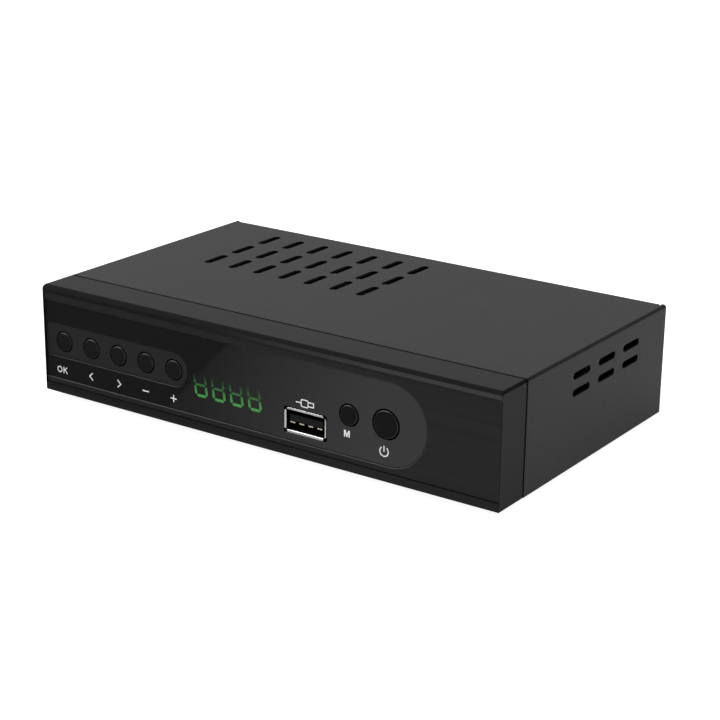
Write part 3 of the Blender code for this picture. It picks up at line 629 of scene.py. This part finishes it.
def make_piece(name, shape, finish, body="case", nodes=(), smooth_below=32):
    """A visible piece: a shape in case millimetres that rides on a body and may stand for CAD nodes."""
    bmesh.ops.recalc_face_normals(shape, faces=shape.faces)
    for vertex in shape.verts:
        vertex.co = in_frame(vertex.co)
    mesh = bpy.data.meshes.new(name)
    shape.to_mesh(mesh)
    shape.free()
    mesh.shade_smooth()
    mesh.set_sharp_from_angle(angle=math.radians(smooth_below))
    mesh.materials.append(MATERIALS[finish])
    piece = bpy.data.objects.new(name, mesh)
    bpy.context.scene.collection.objects.link(piece)
    normals = piece.modifiers.new("even_normals", "WEIGHTED_NORMAL")
    normals.keep_sharp = True
    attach(piece, body)
    if nodes:
        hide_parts(*nodes)
    return piece


def refined(node, finish, edge=0.12):
    """A CAD node's shape with its sharp edges rounded, as a new piece."""
    shape = bmesh.new()
    shape.from_mesh(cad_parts[node].data)
    for vertex in shape.verts:
        vertex.co = (vertex.co - CORNER) / MM
    bmesh.ops.remove_doubles(shape, verts=shape.verts, dist=0.002)
    soften(shape, edge)
    return make_piece(f"{node}_shown", shape, finish, nodes=(node,))


# Cover


def around_bend(along, edge, depth):
    """Where a place on the flat sheet goes when the sheet is bent down at an edge."""
    flat = edge - BEND_R
    if along <= flat:
        return along, depth
    turn = (along - flat) / BEND_R
    if turn < math.pi / 2:
        r = BEND_R - depth
        return flat + r * math.sin(turn), BEND_R - r * math.cos(turn)
    return edge - depth, BEND_R + (turn - math.pi / 2) * BEND_R


def fold_cover(u, v, depth):
    """Folds the cover: u runs across from its middle, v to the rear."""
    if v > CASE_D - BEND_R and abs(u) <= LIP_HALF + 0.01:
        out, below = around_bend(v, CASE_D, depth)
        return (CASE_W / 2 + u, out, CASE_H - below)
    out, below = around_bend(abs(u), CASE_W / 2, depth)
    return (CASE_W / 2 + math.copysign(out, u), v, CASE_H - below)


def bend_lines(flat, steps=8):
    return [flat + BEND_R * math.pi / 2 * k / steps for k in range(steps + 1)]


def cover_pattern():
    """The flat sheet's outline, with a relief notch on each side of the rear lip."""
    around = BEND_R * math.pi / 2 + CASE_H - 2 * BEND_R
    half = CASE_W / 2 + around - CASE_LOW
    lip_end = CASE_D + around - LIP_LOW
    notch_half = LIP_HALF + 0.6
    notch_y = CASE_D - BEND_R - 0.8
    right = [
        (half, COVER[0].y),
        (half, CASE_D),
        (notch_half, CASE_D),
        (notch_half, notch_y),
        (LIP_HALF, notch_y),
    ]
    right += arc((LIP_HALF - 1.0, lip_end - 1.0), (1.0, 1.0), 0, 90, 6)
    left = [(-u, v) for u, v in reversed(right)]
    return right + left, half, lip_end


def make_cover():
    outline, half, lip_end = cover_pattern()
    middle_x = CASE_W / 2
    holes = [upright_slot((x - middle_x, y), *TOP_VENT) for x, y in TOP_VENTS]
    for y, z in SIDE_VENTS:
        for sign in (-1, 1):
            holes.append(upright_slot((sign * (half + CASE_LOW - z), y), *SIDE_VENT))
    screw_v = lip_end - (COVER_SCREW_Z - LIP_LOW)
    holes += [circle((x - middle_x, screw_v), 1.6, 32) for x in COVER_SCREWS_X]
    sheet = plate(outline, holes, SHEET, 0.1)
    for u in bend_lines(middle_x - BEND_R):
        for sign in (-1, 1):
            score(sheet, (sign * u, 0, 0), (1, 0, 0))
    for v in bend_lines(CASE_D - BEND_R):
        score(sheet, (0, v, 0), (0, 1, 0))
    make_piece("cover_sheet", mapped(sheet, fold_cover), "painted_steel", nodes=("top_cover",))


def make_chassis():
    refined("base_chassis", "painted_steel", 0.1)


def make_feet():
    for end in ("front", "rear"):
        for side in ("left", "right"):
            node = f"foot_{end}_{side}"
            low, high = extent(node)
            r = (high.x - low.x) / 2
            edge_r, hollow_r, hollow_top = 0.6, r - 1.6, low.z + 0.15
            profile = [(0, hollow_top), (hollow_r, hollow_top), (hollow_r, low.z)]
            profile += arc((r - edge_r, low.z + edge_r), (edge_r, edge_r), -90, 0, 8)
            profile += [(r, high.z), (0, high.z)]
            centre = ((low.x + high.x) / 2, (low.y + high.y) / 2)
            shape = turned(profile, centre, 64, seen_from_above)
            make_piece(f"{node}_pad", shape, "rubber", nodes=(node,))


# Front


def bezel_section(y):
    """The bezel's outline at a depth: its front edges are rounded, most of all the upper one."""
    into_top = max(0.0, 1 - y / LIP_REACH)
    into_low = max(0.0, 1 - y / LOW_EDGE_R)
    into_side = max(0.0, 1 - y / (2 * SIDE_EDGE_R))
    top = CASE_H - LIP_DROP * (1 - math.sqrt(1 - into_top**2))
    low = CASE_LOW + LOW_EDGE_R * (1 - math.sqrt(1 - into_low**2))
    side = SIDE_EDGE_R * (1 - math.sqrt(1 - into_side**2))
    r = BEND_R - 0.4 * into_top
    foot_r = 0.3
    outline = arc((side + r, top - r), (r, r), 180, 90, 8)
    outline += arc((CASE_W - side - r, top - r), (r, r), 90, 0, 8)
    outline += arc((CASE_W - side - foot_r, low + foot_r), (foot_r, foot_r), 0, -90, 3)
    outline += arc((side + foot_r, low + foot_r), (foot_r, foot_r), -90, -180, 3)
    return [seen_from_front(u, v, y) for u, v in outline]


def key_circles(start, end, extra=0.0):
    shapes = []
    for name in KEYS:
        centre = middle(f"{name}_button")
        r = cap_radius(name) + CAP_CLEARANCE + extra
        shapes.append(turned([(r, start), (r, end)], (centre.x, centre.z), 64))
    return several(shapes)


def cap_radius(name):
    """A cap's own radius. The node's box is as wide as its hidden flange."""
    low, high = extent(f"{name}_button")
    return (high.x - low.x) / 2 - FLANGE


def cap_hole(name):
    centre = middle(f"{name}_button")
    return circle((centre.x, centre.z), cap_radius(name) + CAP_CLEARANCE, 96)


def window(corners, start, end, margin):
    """A square hole through the front, with a margin all round a node's box."""
    low, high = corners
    return box((low.x - margin, start, low.z - margin), (high.x + margin, end, high.z + margin))


def make_bezel():
    steps = 14
    depths = [LIP_REACH * (1 - math.cos(math.radians(90 * k / steps))) for k in range(steps + 1)]
    shape = loft([bezel_section(y) for y in depths + [BEZEL_D]])
    tongue = SHEET + GAP
    wall, rim_wall = 2.0, 2.7
    low = (tongue, BEZEL_D - 1, CASE_LOW + tongue)
    rim = box(low, (CASE_W - tongue, RIM_END, CASE_H - tongue))
    shape = join(shape, rim)
    for x in LUGS_X:
        low = (x - LUG_HALF_W, LUG_Y[0], CASE_LOW + 0.25)
        shape = join(shape, box(low, (x + LUG_HALF_W, LUG_Y[1], CASE_LOW + tongue + 0.6)))
    high = (CASE_W - wall, BEZEL_D - 1.5, CASE_H - wall)
    shape = cut(shape, box((wall, WALL_BACK, wall), high))
    high = (CASE_W - rim_wall, RIM_END + 1, CASE_H - rim_wall)
    shape = cut(shape, box((rim_wall, BEZEL_D - 2, rim_wall), high))
    pocket = rounded((POCKET_EDGE, POCKET_LOW), (CASE_W - POCKET_EDGE, POCKET_HIGH), 0.15, 3)
    shape = cut(shape, prism(pocket, -1, POCKET_FLOOR, seen_from_front))
    shape = cut(shape, key_circles(POCKET_FLOOR - 1, WALL_BACK + 1))
    for corners in (USB, DISPLAY):
        hole = window(corners, POCKET_FLOOR - 1, WALL_BACK + 1, WINDOW_CLEARANCE)
        shape = cut(shape, hole)
    ends = [(SENSOR_HOLE_R, POCKET_FLOOR - 1), (SENSOR_HOLE_R, WALL_BACK + 1)]
    shape = cut(shape, turned(ends, (SENSOR.x, SENSOR_Z), 32))
    soften(shape, 0.08, lambda place: abs(place.y) < 0.01, 2, 60)
    make_piece("bezel_moulding", shape, "bezel_plastic", nodes=("front_bezel",))


def make_fascia():
    left, right = FASCIA[0].x, FASCIA[1].x
    low, high = FASCIA[0].z, FASCIA[1].z
    r = LENS_R + 0.1
    front, back = FASCIA[0].y, FASCIA[1].y
    inner = arc((LENS_END_X, FRONT_ROW_Z), (r, r), 90, -90, 64)
    outline = [(left, low), (right, low), (right, high), (left, high), (left, FRONT_ROW_Z + r)]
    outline += inner + [(left, FRONT_ROW_Z - r)]
    face = front_plate(outline, [], front, LENS_POCKET_FLOOR + 0.2, 0.2, 3)
    backing = box((left, LENS_POCKET_FLOOR, low), (right, back, high))
    backing = cut(backing, key_circles(LENS_POCKET_FLOOR - 1, back + 1, extra=0.1))
    for corners, margin in ((USB, WINDOW_CLEARANCE), (DISPLAY, -0.3)):
        hole = window(corners, LENS_POCKET_FLOOR - 1, back + 1, margin)
        backing = cut(backing, hole)
    shape = join(face, backing)
    make_piece("fascia_face", shape, "fascia", nodes=("fascia_plate",))


def panel_end_x():
    return middle(f"{ROW_KEYS[-1]}_button").x


def make_lens():
    left = LENS[0].x
    front, back = LENS[0].y, LENS[1].y
    edge = 0.15
    r = PANEL_R - edge
    inner = arc((panel_end_x(), FRONT_ROW_Z), (r, r), 90, -90, 48)
    outline = half_pill(left, LENS_END_X, LENS_R, 96)
    outline = outline[:-1] + [(left, FRONT_ROW_Z + r)] + inner
    outline += [(left, FRONT_ROW_Z - r), (left, FRONT_ROW_Z - LENS_R)]
    holes = [cap_hole(name) for name in KEYS if name not in ROW_KEYS]
    margin = 0.15
    low = (USB[0].x - margin, USB[0].z - margin)
    high = (USB[1].x + margin, USB[1].z + margin)
    holes.append(rounded(low, high, 0.8))
    lens = front_plate(outline, holes, front, back, edge, 3)
    make_piece("lens_panel", lens, "smoked_lens", nodes=("display_lens",))

    holes = [cap_hole(name) for name in ROW_KEYS]
    outline = half_pill(left, panel_end_x(), r - 0.02, 48)
    inlay = front_plate(outline, holes, front + PANEL_SINK, back, 0.06)
    make_piece("key_panel_inlay", inlay, "key_panel", nodes=("display_lens",))


def make_caps():
    for name in KEYS:
        node = f"{name}_button"
        low, high = extent(node)
        centre = middle(node)
        r = cap_radius(name)
        rim, crown, stem_r = 0.42, 0.06, 1.5
        front = low.y
        flange = (WALL_BACK + GAP, WALL_BACK + GAP + FLANGE)
        steps = 6
        profile = [(0, front)]
        for k in range(1, steps + 1):
            share = k / steps
            profile.append(((r - rim) * share, front + crown * share**2))
        profile += arc((r - rim, front + crown + rim), (rim, rim), -80, 0, 8)
        profile += [(r, flange[0]), (r + FLANGE, flange[0]), (r + FLANGE, flange[1])]
        profile += [(stem_r, flange[1]), (stem_r, high.y), (0, high.y)]
        shape = turned(profile, (centre.x, centre.z), 96)
        # Painted light and shade: the row caps take the lighter copy of the cap plastic, and the round
        # caps the darker one.
        finish = "row_cap_plastic_painted_light" if name in ROW_KEYS else "round_cap_plastic_painted_shade"
        make_piece(f"{name}_cap", shape, finish, f"{name}_key", (node,))


# Legends

INK_THICKNESS = 0.03
PEN = 0.32


def film(outline, holes, thickness):
    """A thin layer that stands out from the lens and reaches a little way into it."""
    return front_plate(outline, holes, LENS[0].y - thickness, LENS[0].y + 0.01, 0.002, 0)


def make_legend(name, outlines):
    """A flat mark on the lens. Each outline may come with holes."""
    whole, *others = [film(outline, holes, INK_THICKNESS) for outline, *holes in outlines]
    for other in others:
        whole = join(whole, other)
    make_piece(name, whole, "ink")


def ok_mark(x, z):
    """The letters O and K."""
    half_h, o_half_w, pen = 0.98, 0.97, 0.28
    centre = (x - 1.0, z)
    outer = arc(centre, (o_half_w, half_h), 0, 360, 40)[:-1]
    inner = arc(centre, (o_half_w - pen, half_h - pen), 0, 360, 40)[:-1]
    stem_x = x + 0.6
    stem = stroke([(stem_x, z - half_h), (stem_x, z + half_h)], pen)
    upper = stroke([(stem_x + 0.05, z - 0.1), (x + 1.9, z + half_h)], pen)
    lower = stroke([(stem_x + 0.45, z + 0.15), (x + 1.95, z - half_h)], pen)
    return [(outer, inner), (stem,), (upper,), (lower,)]


def chevron(x, z, direction):
    half_w, half_h = 0.62, 1.12
    tip = (x - direction * half_w, z)
    ends = [(x + direction * half_w, z + sign * half_h) for sign in (1, -1)]
    return [(stroke([ends[0], tip, ends[1]], PEN),)]


def minus_mark(x, z):
    return [(stroke([(x - 1.2, z), (x + 1.2, z)], 0.36),)]


def plus_mark(x, z):
    arm, half = 1.08, 0.17
    quarter = [(half, arm), (half, half), (arm, half)]
    outline = []
    for turn in range(4):
        spin = Matrix.Rotation(math.radians(-90 * turn), 2)
        outline += [tuple(Vector((x, z)) + spin @ Vector(point)) for point in quarter]
    return [(outline,)]


def menu_mark(x, z):
    """The letter M."""
    half_w, half_h, stem, notch = 0.95, 0.95, 0.4, 0.52
    right = [
        (0.0, -0.1),
        (half_w - notch, half_h),
        (half_w, half_h),
        (half_w, -half_h),
        (half_w - stem, -half_h),
        (half_w - stem, 0.3),
        (0.16, -half_h),
    ]
    left = [(-u, v) for u, v in reversed(right[1:])]
    return [([(x + u, z + v) for u, v in right + left],)]


def power_mark(x, z):
    """An open ring with a bar through its gap."""
    ring = stroke(arc((x, z), (1.33, 1.33), 127, 413, 40), 0.34)
    bar = stroke([(x, z - 0.05), (x, z + 1.6)], 0.34)
    return [(ring,), (bar,)]


def plug_mark(x, z):
    """A plug on its lead, drawn in outline: a plain pictogram for the port."""
    pen = 0.3
    lead = stroke([(x - 3.05, z), (x - 1.35, z)], pen)
    body = rounded((x - 1.4, z - 1.15), (x + 1.2, z + 1.15), 0.5, 4)
    inside = rounded((x - 1.4 + pen, z - 1.15 + pen), (x + 1.2 - pen, z + 1.15 - pen), 0.25, 4)
    shell = rounded((x + 1.15, z - 0.75), (x + 3.0, z + 0.75), 0.08, 2)
    hollow = rounded((x + 1.2, z - 0.75 + pen), (x + 3.0 - pen, z + 0.75 - pen), 0.05, 2)
    return [(lead,), (body, inside), (shell, hollow)]


def make_legends():
    """Marks stand under their keys, the letters a little to the side."""
    centres = {name: middle(f"{name}_button").x for name in KEYS}
    make_legend("ok_legend", ok_mark(centres["ok"] - 1.0, 6.85))
    make_legend("left_legend", chevron(centres["left"] - 0.2, 7.1, 1))
    make_legend("right_legend", chevron(centres["right"] + 0.2, 7.1, -1))
    make_legend("minus_legend", minus_mark(centres["minus"], 7.1))
    make_legend("plus_legend", plus_mark(centres["plus"], 7.1))
    make_legend("menu_legend", menu_mark(centres["menu"] - 0.55, 10.25))
    make_legend("power_legend", power_mark(centres["power"] - 0.45, 8.0))
    usb_x = (USB[0].x + USB[1].x) / 2
    make_legend("port_legend", plug_mark(usb_x, 15.65))


# Digits

DIGIT_PITCH = 6.3
DIGIT_FOOT = 9.6
SEGMENT, SEGMENT_THICKNESS = 0.8, 0.02
LEAN = math.tan(math.radians(7))


def segment(start, end, width):
    """A lit bar with pointed ends."""
    start, end = Vector(start), Vector(end)
    along = (end - start).normalized()
    across = Vector((-along.y, along.x)) * width / 2
    tip = along * width / 2
    points = [start, start + tip + across, end - tip + across]
    points += [end, end - tip - across, start + tip - across]
    return [tuple(point) for point in points]


def digit_outlines(left):
    """The six lit segments that show on one digit, leaning as it does."""
    width, middle_z, top_z = 3.8, 3.65, 7.0
    gap, low = 0.2, 0.5
    bars = [
        segment((gap, low), (width - gap, low), SEGMENT),
        segment((0, low + gap), (0, middle_z - gap), SEGMENT),
        segment((width, low + gap), (width, middle_z - gap), SEGMENT),
        segment((gap, middle_z), (width - gap, middle_z), SEGMENT * 0.8),
        segment((0, middle_z + gap), (0, top_z), SEGMENT),
        segment((width, middle_z + gap), (width, top_z), SEGMENT),
    ]
    return [[(left + u - v * LEAN, DIGIT_FOOT + v) for u, v in bar] for bar in bars]


def make_digits():
    for k in range(4):
        left = DISPLAY[0].x + 1.1 + k * DIGIT_PITCH
        bars = [film(outline, [], SEGMENT_THICKNESS) for outline in digit_outlines(left)]
        make_piece(f"digit_{k + 1}", several(bars), "lit_segment")


# USB port

TAB_BEND_R = 0.38
TAB_ANGLE = math.radians(82)
TAB_SHEET = 0.3
TAB_STRAIGHT = 0.1


def flare(u, v, depth):
    """Bends a tab outwards: v runs along the tab from its root, depth away from the opening."""
    if v <= TAB_STRAIGHT:
        return u, -v, depth
    turn = min(TAB_ANGLE, (v - TAB_STRAIGHT) / TAB_BEND_R)
    r = TAB_BEND_R - depth
    beyond = max(0.0, v - TAB_STRAIGHT - TAB_BEND_R * TAB_ANGLE)
    forward = TAB_STRAIGHT + r * math.sin(turn) + beyond * math.cos(turn)
    outward = TAB_BEND_R - r * math.cos(turn) + beyond * math.sin(turn)
    return u, -forward, outward


def usb_tab(width, half_opening, tip_reach):
    """One flared tab. Its points are (across, y, distance from the port's middle)."""
    rise = tip_reach - half_opening - TAB_BEND_R * (1 - math.cos(TAB_ANGLE))
    length = TAB_STRAIGHT + TAB_BEND_R * TAB_ANGLE + rise / math.sin(TAB_ANGLE)
    outline = rounded((-width / 2, 0.0), (width / 2, length), 0.45, 6)
    tab = plate(outline, [], TAB_SHEET, 0.08)
    steps = 6
    for k in range(steps + 1):
        score(tab, (0, TAB_STRAIGHT + TAB_BEND_R * TAB_ANGLE * k / steps, 0), (0, 1, 0))
    mapped(tab, flare)
    bmesh.ops.translate(tab, vec=(0.0, 0.0, half_opening), verts=tab.verts)
    return tab


def stood_tab(tab, place, sign, sideways):
    """Stands a tab above or below the port's middle, or sideways at its left or right."""

    def stand(u, y, out):
        across, up = (sign * out, u) if sideways else (u, sign * out)
        return (place[0] + across, place[1] + y, place[2] + up)

    return mapped(tab, stand)


def make_usb():
    centre = (USB[0] + USB[1]) / 2
    half_w, half_h = 6.35, 2.85
    tip_w, tip_h = (USB[1].x - USB[0].x) / 2 - 0.1, (USB[1].z - USB[0].z) / 2 - 0.1
    body_front, back = USB[0].y + 0.5, USB[1].y

    def around_opening(wall, r):
        w, h = half_w + wall, half_h + wall
        return rounded((centre.x - w, centre.z - h), (centre.x + w, centre.z + h), r)

    shell = prism(around_opening(TAB_SHEET, 0.5), body_front, back, seen_from_front)
    opening = prism(around_opening(0, 0.25), body_front - 1, back - TAB_SHEET, seen_from_front)
    shell = cut(shell, opening)
    # The sleeve takes the dark steel that stands in for shade inside the port.
    make_piece("usb_sleeve", shell, "painted_shade_steel", nodes=("usb_shell",))
    root = USB[0].y + 0.55
    tabs = []
    for sign in (-1, 1):
        tab = usb_tab(2 * half_w - 0.6, half_h, tip_h)
        tabs.append(stood_tab(tab, (centre.x, root, centre.z), sign, False))
        tab = usb_tab(2 * half_h - 0.3, half_w, tip_w)
        tabs.append(stood_tab(tab, (centre.x, root, centre.z), sign, True))
    make_piece("usb_tabs", several(tabs), "bright_steel", nodes=("usb_shell",))
    refined("usb_tongue", "port_plastic", 0.12)
    make_contacts()


def make_contacts():
    """Four leaf contacts under the tongue, each with its end curled down, on one carrier."""
    low, high = extent("usb_contacts")
    pitch, half_w, leaf, curl = 3.0, 0.8, 0.24, 0.42
    top = high.z - 0.02
    carrier = box((low.x, high.y - 1.0, low.z), (high.x, high.y, high.z))
    for k in range(4):
        x = (low.x + high.x) / 2 + (k - 1.5) * pitch
        side = [(low.y, top - curl + 0.1), (low.y, top), (high.y - 0.5, top)]
        side += [(high.y - 0.5, top - leaf), (low.y + 0.6, top - leaf)]
        side += [(low.y + 0.3, top - curl), (low.y + 0.1, top - curl)]
        carrier = join(carrier, prism(side, x - half_w, x + half_w, seen_from_side))
    make_piece("usb_contact_leaves", carrier, "gold", nodes=("usb_contacts",))


# Rear


def make_rear():
    refined("scart_socket", "black_plastic", 0.15)
    refined("hdmi_shell", "bright_steel", 0.08)
    refined("hdmi_tongue", "black_plastic", 0.08)
    make_aerial_sockets()
    make_coax_socket()
    refined("power_inlet", "black_plastic", 0.12)
    for side in ("left", "right"):
        refined(f"cover_screw_{side}", "screw_steel", 0.1)


def make_aerial_sockets():
    """Two threaded coaxial sockets, one with a sprung sleeve and one with a pin."""
    for name, outlet in (("aerial_in_socket", False), ("aerial_out_socket", True)):
        low, high = extent(name)
        x, z = (low.x + high.x) / 2, (low.z + high.z) / 2
        collar_r = (high.x - low.x) / 2
        tip, step = high.y, CASE_D
        thread_r = collar_r if outlet else 4.75
        barrel_r, bore_r = thread_r - 0.25, thread_r - 0.6
        floor = tip - 8.0
        profile = [(0, low.y), (collar_r, low.y), (collar_r, step + 0.4), (barrel_r, step + 0.4)]
        rings = 6
        for k in range(rings):
            y = step + 1.0 + k * (tip - step - 2.0) / rings
            profile += [(barrel_r, y), (thread_r, y + 0.35), (thread_r, y + 0.6)]
        profile += [(barrel_r, tip - 0.8), (barrel_r, tip - 0.1)]
        profile += [(barrel_r - 0.1, tip), (bore_r + 0.1, tip), (bore_r, tip - 0.1)]
        pin_r = 1.2 if outlet else 1.9
        profile += [(bore_r, floor), (pin_r, floor), (pin_r, tip - 1.2), (0, tip - 0.9)]
        make_piece(f"{name}_shown", turned(profile, (x, z)), "bright_steel", nodes=(name,))


def make_coax_socket():
    """A black block and barrel, with a coloured ring around its bore."""
    name = "coax_audio_socket"
    low, high = extent(name)
    body_back = CHASSIS[1].y - SHEET - GAP
    x, z, r = (low.x + high.x) / 2, 13.0, 4.15
    body = box((low.x, low.y, low.z), (high.x, body_back, high.z))
    tip, bore = high.y, 1.65
    profile = [(0, body_back - 1), (r, body_back - 1), (r, tip - 0.3), (r - 0.3, tip)]
    profile += [(r - 0.8, tip), (r - 0.8, tip - 0.6), (0, tip - 0.6)]
    body = join(body, turned(profile, (x, z)))
    bored = cut(body, turned([(bore, tip - 8), (bore, tip + 1)], (x, z), 48))
    make_piece("coax_body", bored, "black_plastic", nodes=(name,))
    outer = r - 0.82
    ring = [(bore, tip - 0.58), (outer, tip - 0.58), (outer, tip - 0.15), (outer - 0.1, tip - 0.05)]
    ring += [(bore + 0.1, tip - 0.05), (bore, tip - 0.15)]
    rings = [[seen_from_front(u, v, y) for u, v in circle((x, z), radius)] for radius, y in ring]
    make_piece("coax_ring", closed_ring(rings), "coax_insert", nodes=(name,))


def closed_ring(sections):
    """A solid whose sections come round to the first one again."""
    shape = bmesh.new()
    rings = [[shape.verts.new(point) for point in section] for section in sections]
    for one, other in zip(rings, rings[1:] + rings[:1]):
        bridge(shape, one, other)
    return shape


# Inner pieces

INNER_FINISHES = {
    "front_board": "board",
    "main_board": "board",
    "board_header": "black_plastic",
    "digit_display": "black_plastic",
    "ir_receiver": "black_plastic",
    "system_chip": "black_plastic",
    "memory_chip": "black_plastic",
    "flash_chip": "black_plastic",
    "crystal_can": "bright_steel",
    "tuner_can": "bright_steel",
    "power_inductor": "ferrite",
    "input_capacitor": "capacitor_sleeve",
    "output_capacitor": "capacitor_sleeve",
    # The heat sink takes the darkened aluminium, which stands in for shade seen through the vents.
    "heat_sink": "aluminium",
}


def finish_inner_nodes():
    finishes = dict(INNER_FINISHES)
    for key in KEYS:
        finishes[f"{key}_switch_body"] = "switch_steel"
        finishes[f"{key}_switch_plunger"] = "black_plastic"
    for end in ("front", "rear"):
        for side in ("left", "right"):
            finishes[f"board_screw_{end}_{side}"] = "screw_steel"
    for node, finish in finishes.items():
        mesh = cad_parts[node].data
        mesh.materials.clear()
        mesh.materials.append(MATERIALS[finish])


# Stage

FLOOR_GLOW, FLOOR_SEEN = 0.45, 0.93
AMBIENT = 0.35
SWEEP = 0.6
BEHIND = Vector((-0.566, 0.824, 0.0))
SWEEP_EDGES = (0.2, 0.75)

# The card before the front, in case millimetres, and the levels of its ramp
CARD_X, CARD_Y, CARD_LIFT = (-220.0, 300.0), (-320.0, -3.5), 0.2
DARK_EDGE, DARK_EDGE_LEAN, DARK_EDGE_BLUR = (35.8, -12.4, 0.0), 0.403, 0.6
RAMP_X, RAMP_LEAN, RAMP_LEVELS = (50.0, 112.0), 0.55, (0.13, 0.72)


def lay_flat(name, low, high, material):
    """A level rectangle of the stage, between two corners at one height."""
    x, y, z = low
    mesh = bpy.data.meshes.new(name)
    corners = [(x, y, z), (high[0], y, z), (high[0], high[1], z), (x, high[1], z)]
    mesh.from_pydata(corners, [], [(0, 1, 2, 3)])
    mesh.materials.append(material)
    piece = bpy.data.objects.new(name, mesh)
    bpy.context.scene.collection.objects.link(piece)
    return piece


def make_floor():
    """A white floor: to the camera it is plain paper with only a breath of shadow."""
    made = Nodes("studio_floor")
    tone = made.ranged(made.noise(3.0), 0.0, 1.0)
    made.set("Base Color", made.blend(tone, grey(0.49), grey(0.51)))
    made.set("Roughness", 0.9)
    made.set("Specular IOR Level", 0.0)
    made.set("Emission Color", (1.0, 1.0, 1.0, 1.0))
    seen = made.add("ShaderNodeLightPath").outputs["Is Camera Ray"]
    made.set("Emission Strength", made.ranged(seen, FLOOR_GLOW, FLOOR_SEEN, (0.0, 1.0)))
    side = 6.0
    lay_flat("studio_floor", (-side, -side, 0.0), (side, side, 0.0), made.material)


def card_tone(made):
    """How bright the card is: dark left of a leaning edge, and paler and paler to the right."""
    place = made.parts(made.places())

    def rightwards(lean):
        return made.calc("SUBTRACT", place["X"], made.calc("MULTIPLY", place["Y"], lean))

    corner = in_frame(DARK_EDGE)
    edge = corner.x - DARK_EDGE_LEAN * corner.y
    lit = made.ranged(rightwards(DARK_EDGE_LEAN), 0.0, 1.0, (edge, edge + DARK_EDGE_BLUR * MM))
    ends = [in_frame((x, 0.0, 0.0)) for x in RAMP_X]
    source = [end.x - RAMP_LEAN * end.y for end in ends]
    return made.calc("MULTIPLY", lit, made.ranged(rightwards(RAMP_LEAN), *RAMP_LEVELS, source))


def make_reflector():
    """A card on the floor before the front, seen only as a reflection in it."""
    made = Nodes("reflector")
    made.tree.nodes.remove(made.shader)
    inputs = {"Color": (1.0, 1.0, 1.0, 1.0), "Strength": card_tone(made)}
    emission = made.add("ShaderNodeEmission", inputs)
    output = next(node for node in made.tree.nodes if node.type == "OUTPUT_MATERIAL")
    made.tree.links.new(emission.outputs[0], output.inputs["Surface"])
    low, high = (in_frame((x, y, CARD_LIFT - FOOT_H)) for x, y in zip(CARD_X, CARD_Y))
    card = lay_flat("reflector", low, high, made.material)
    card.visible_camera = False
    card.visible_diffuse = False
    card.visible_shadow = False
    card.visible_transmission = False


def make_world():
    """White to the camera; dim for light and reflections, but for a white sweep low behind the case."""
    world = bpy.data.worlds.new("studio")
    bpy.context.scene.world = world
    world.use_nodes = True
    tree = world.node_tree
    background = tree.nodes["Background"]
    made = Nodes("studio", tree)
    direction = made.add("ShaderNodeTexCoord").outputs["Generated"]
    toward = made.add("ShaderNodeVectorMath", {0: direction, 1: BEHIND}, operation="DOT_PRODUCT")
    sweep = made.ranged(toward.outputs["Value"], AMBIENT, SWEEP, SWEEP_EDGES)
    ray = made.add("ShaderNodeLightPath").outputs
    glossy = made.add("ShaderNodeMix", {"Factor": ray["Is Glossy Ray"], 2: AMBIENT, 3: sweep})
    inputs = {"Factor": ray["Is Camera Ray"], 2: glossy.outputs[0], 3: 1.0}
    level = made.add("ShaderNodeMix", inputs)
    tree.links.new(level.outputs[0], background.inputs["Strength"])
    background.inputs["Color"].default_value = (1.0, 1.0, 1.0, 1.0)


def make_lamp(name, place, size, power):
    """A soft lamp that faces the middle of the object's foot."""
    data = bpy.data.lights.new(name, "AREA")
    data.shape = "RECTANGLE"
    data.size, data.size_y = size
    data.energy = power
    lamp = bpy.data.objects.new(name, data)
    lamp.location = place
    lamp.rotation_euler = (-Vector(place)).to_track_quat("-Z", "Y").to_euler()
    bpy.context.scene.collection.objects.link(lamp)


def make_camera():
    """A long lens, to the right of the front and above it."""
    azimuth, elevation, roll = 34.542, 18.996, 0.682
    place = (374.8, -380.4, 190.9)
    data = bpy.data.cameras.new("camera")
    data.sensor_width = 36.0
    data.lens = 94.085
    data.clip_start = 0.01
    camera = bpy.data.objects.new("camera", data)
    turn = Matrix.Rotation(math.radians(azimuth), 4, "Z")
    turn = turn @ Matrix.Rotation(math.radians(90 - elevation), 4, "X")
    turn = turn @ Matrix.Rotation(math.radians(roll), 4, "Z")
    camera.matrix_world = Matrix.Translation(in_frame(place)) @ turn
    bpy.context.scene.collection.objects.link(camera)
    bpy.context.scene.camera = camera


def make_stage():
    make_floor()
    make_reflector()
    make_world()
    make_lamp("key_light", (-0.55, -0.35, 0.9), (0.9, 0.9), 10.0)
    make_lamp("side_light", (-1.3, -0.1, 0.65), (1.2, 0.6), 5.0)
    view = bpy.context.scene.view_settings
    view.view_transform = "Standard"
    view.look = "None"


make_camera()
make_cover()
make_chassis()
make_feet()
make_bezel()
make_fascia()
make_lens()
make_caps()
make_legends()
make_digits()
make_usb()
make_rear()
finish_inner_nodes()
make_stage()
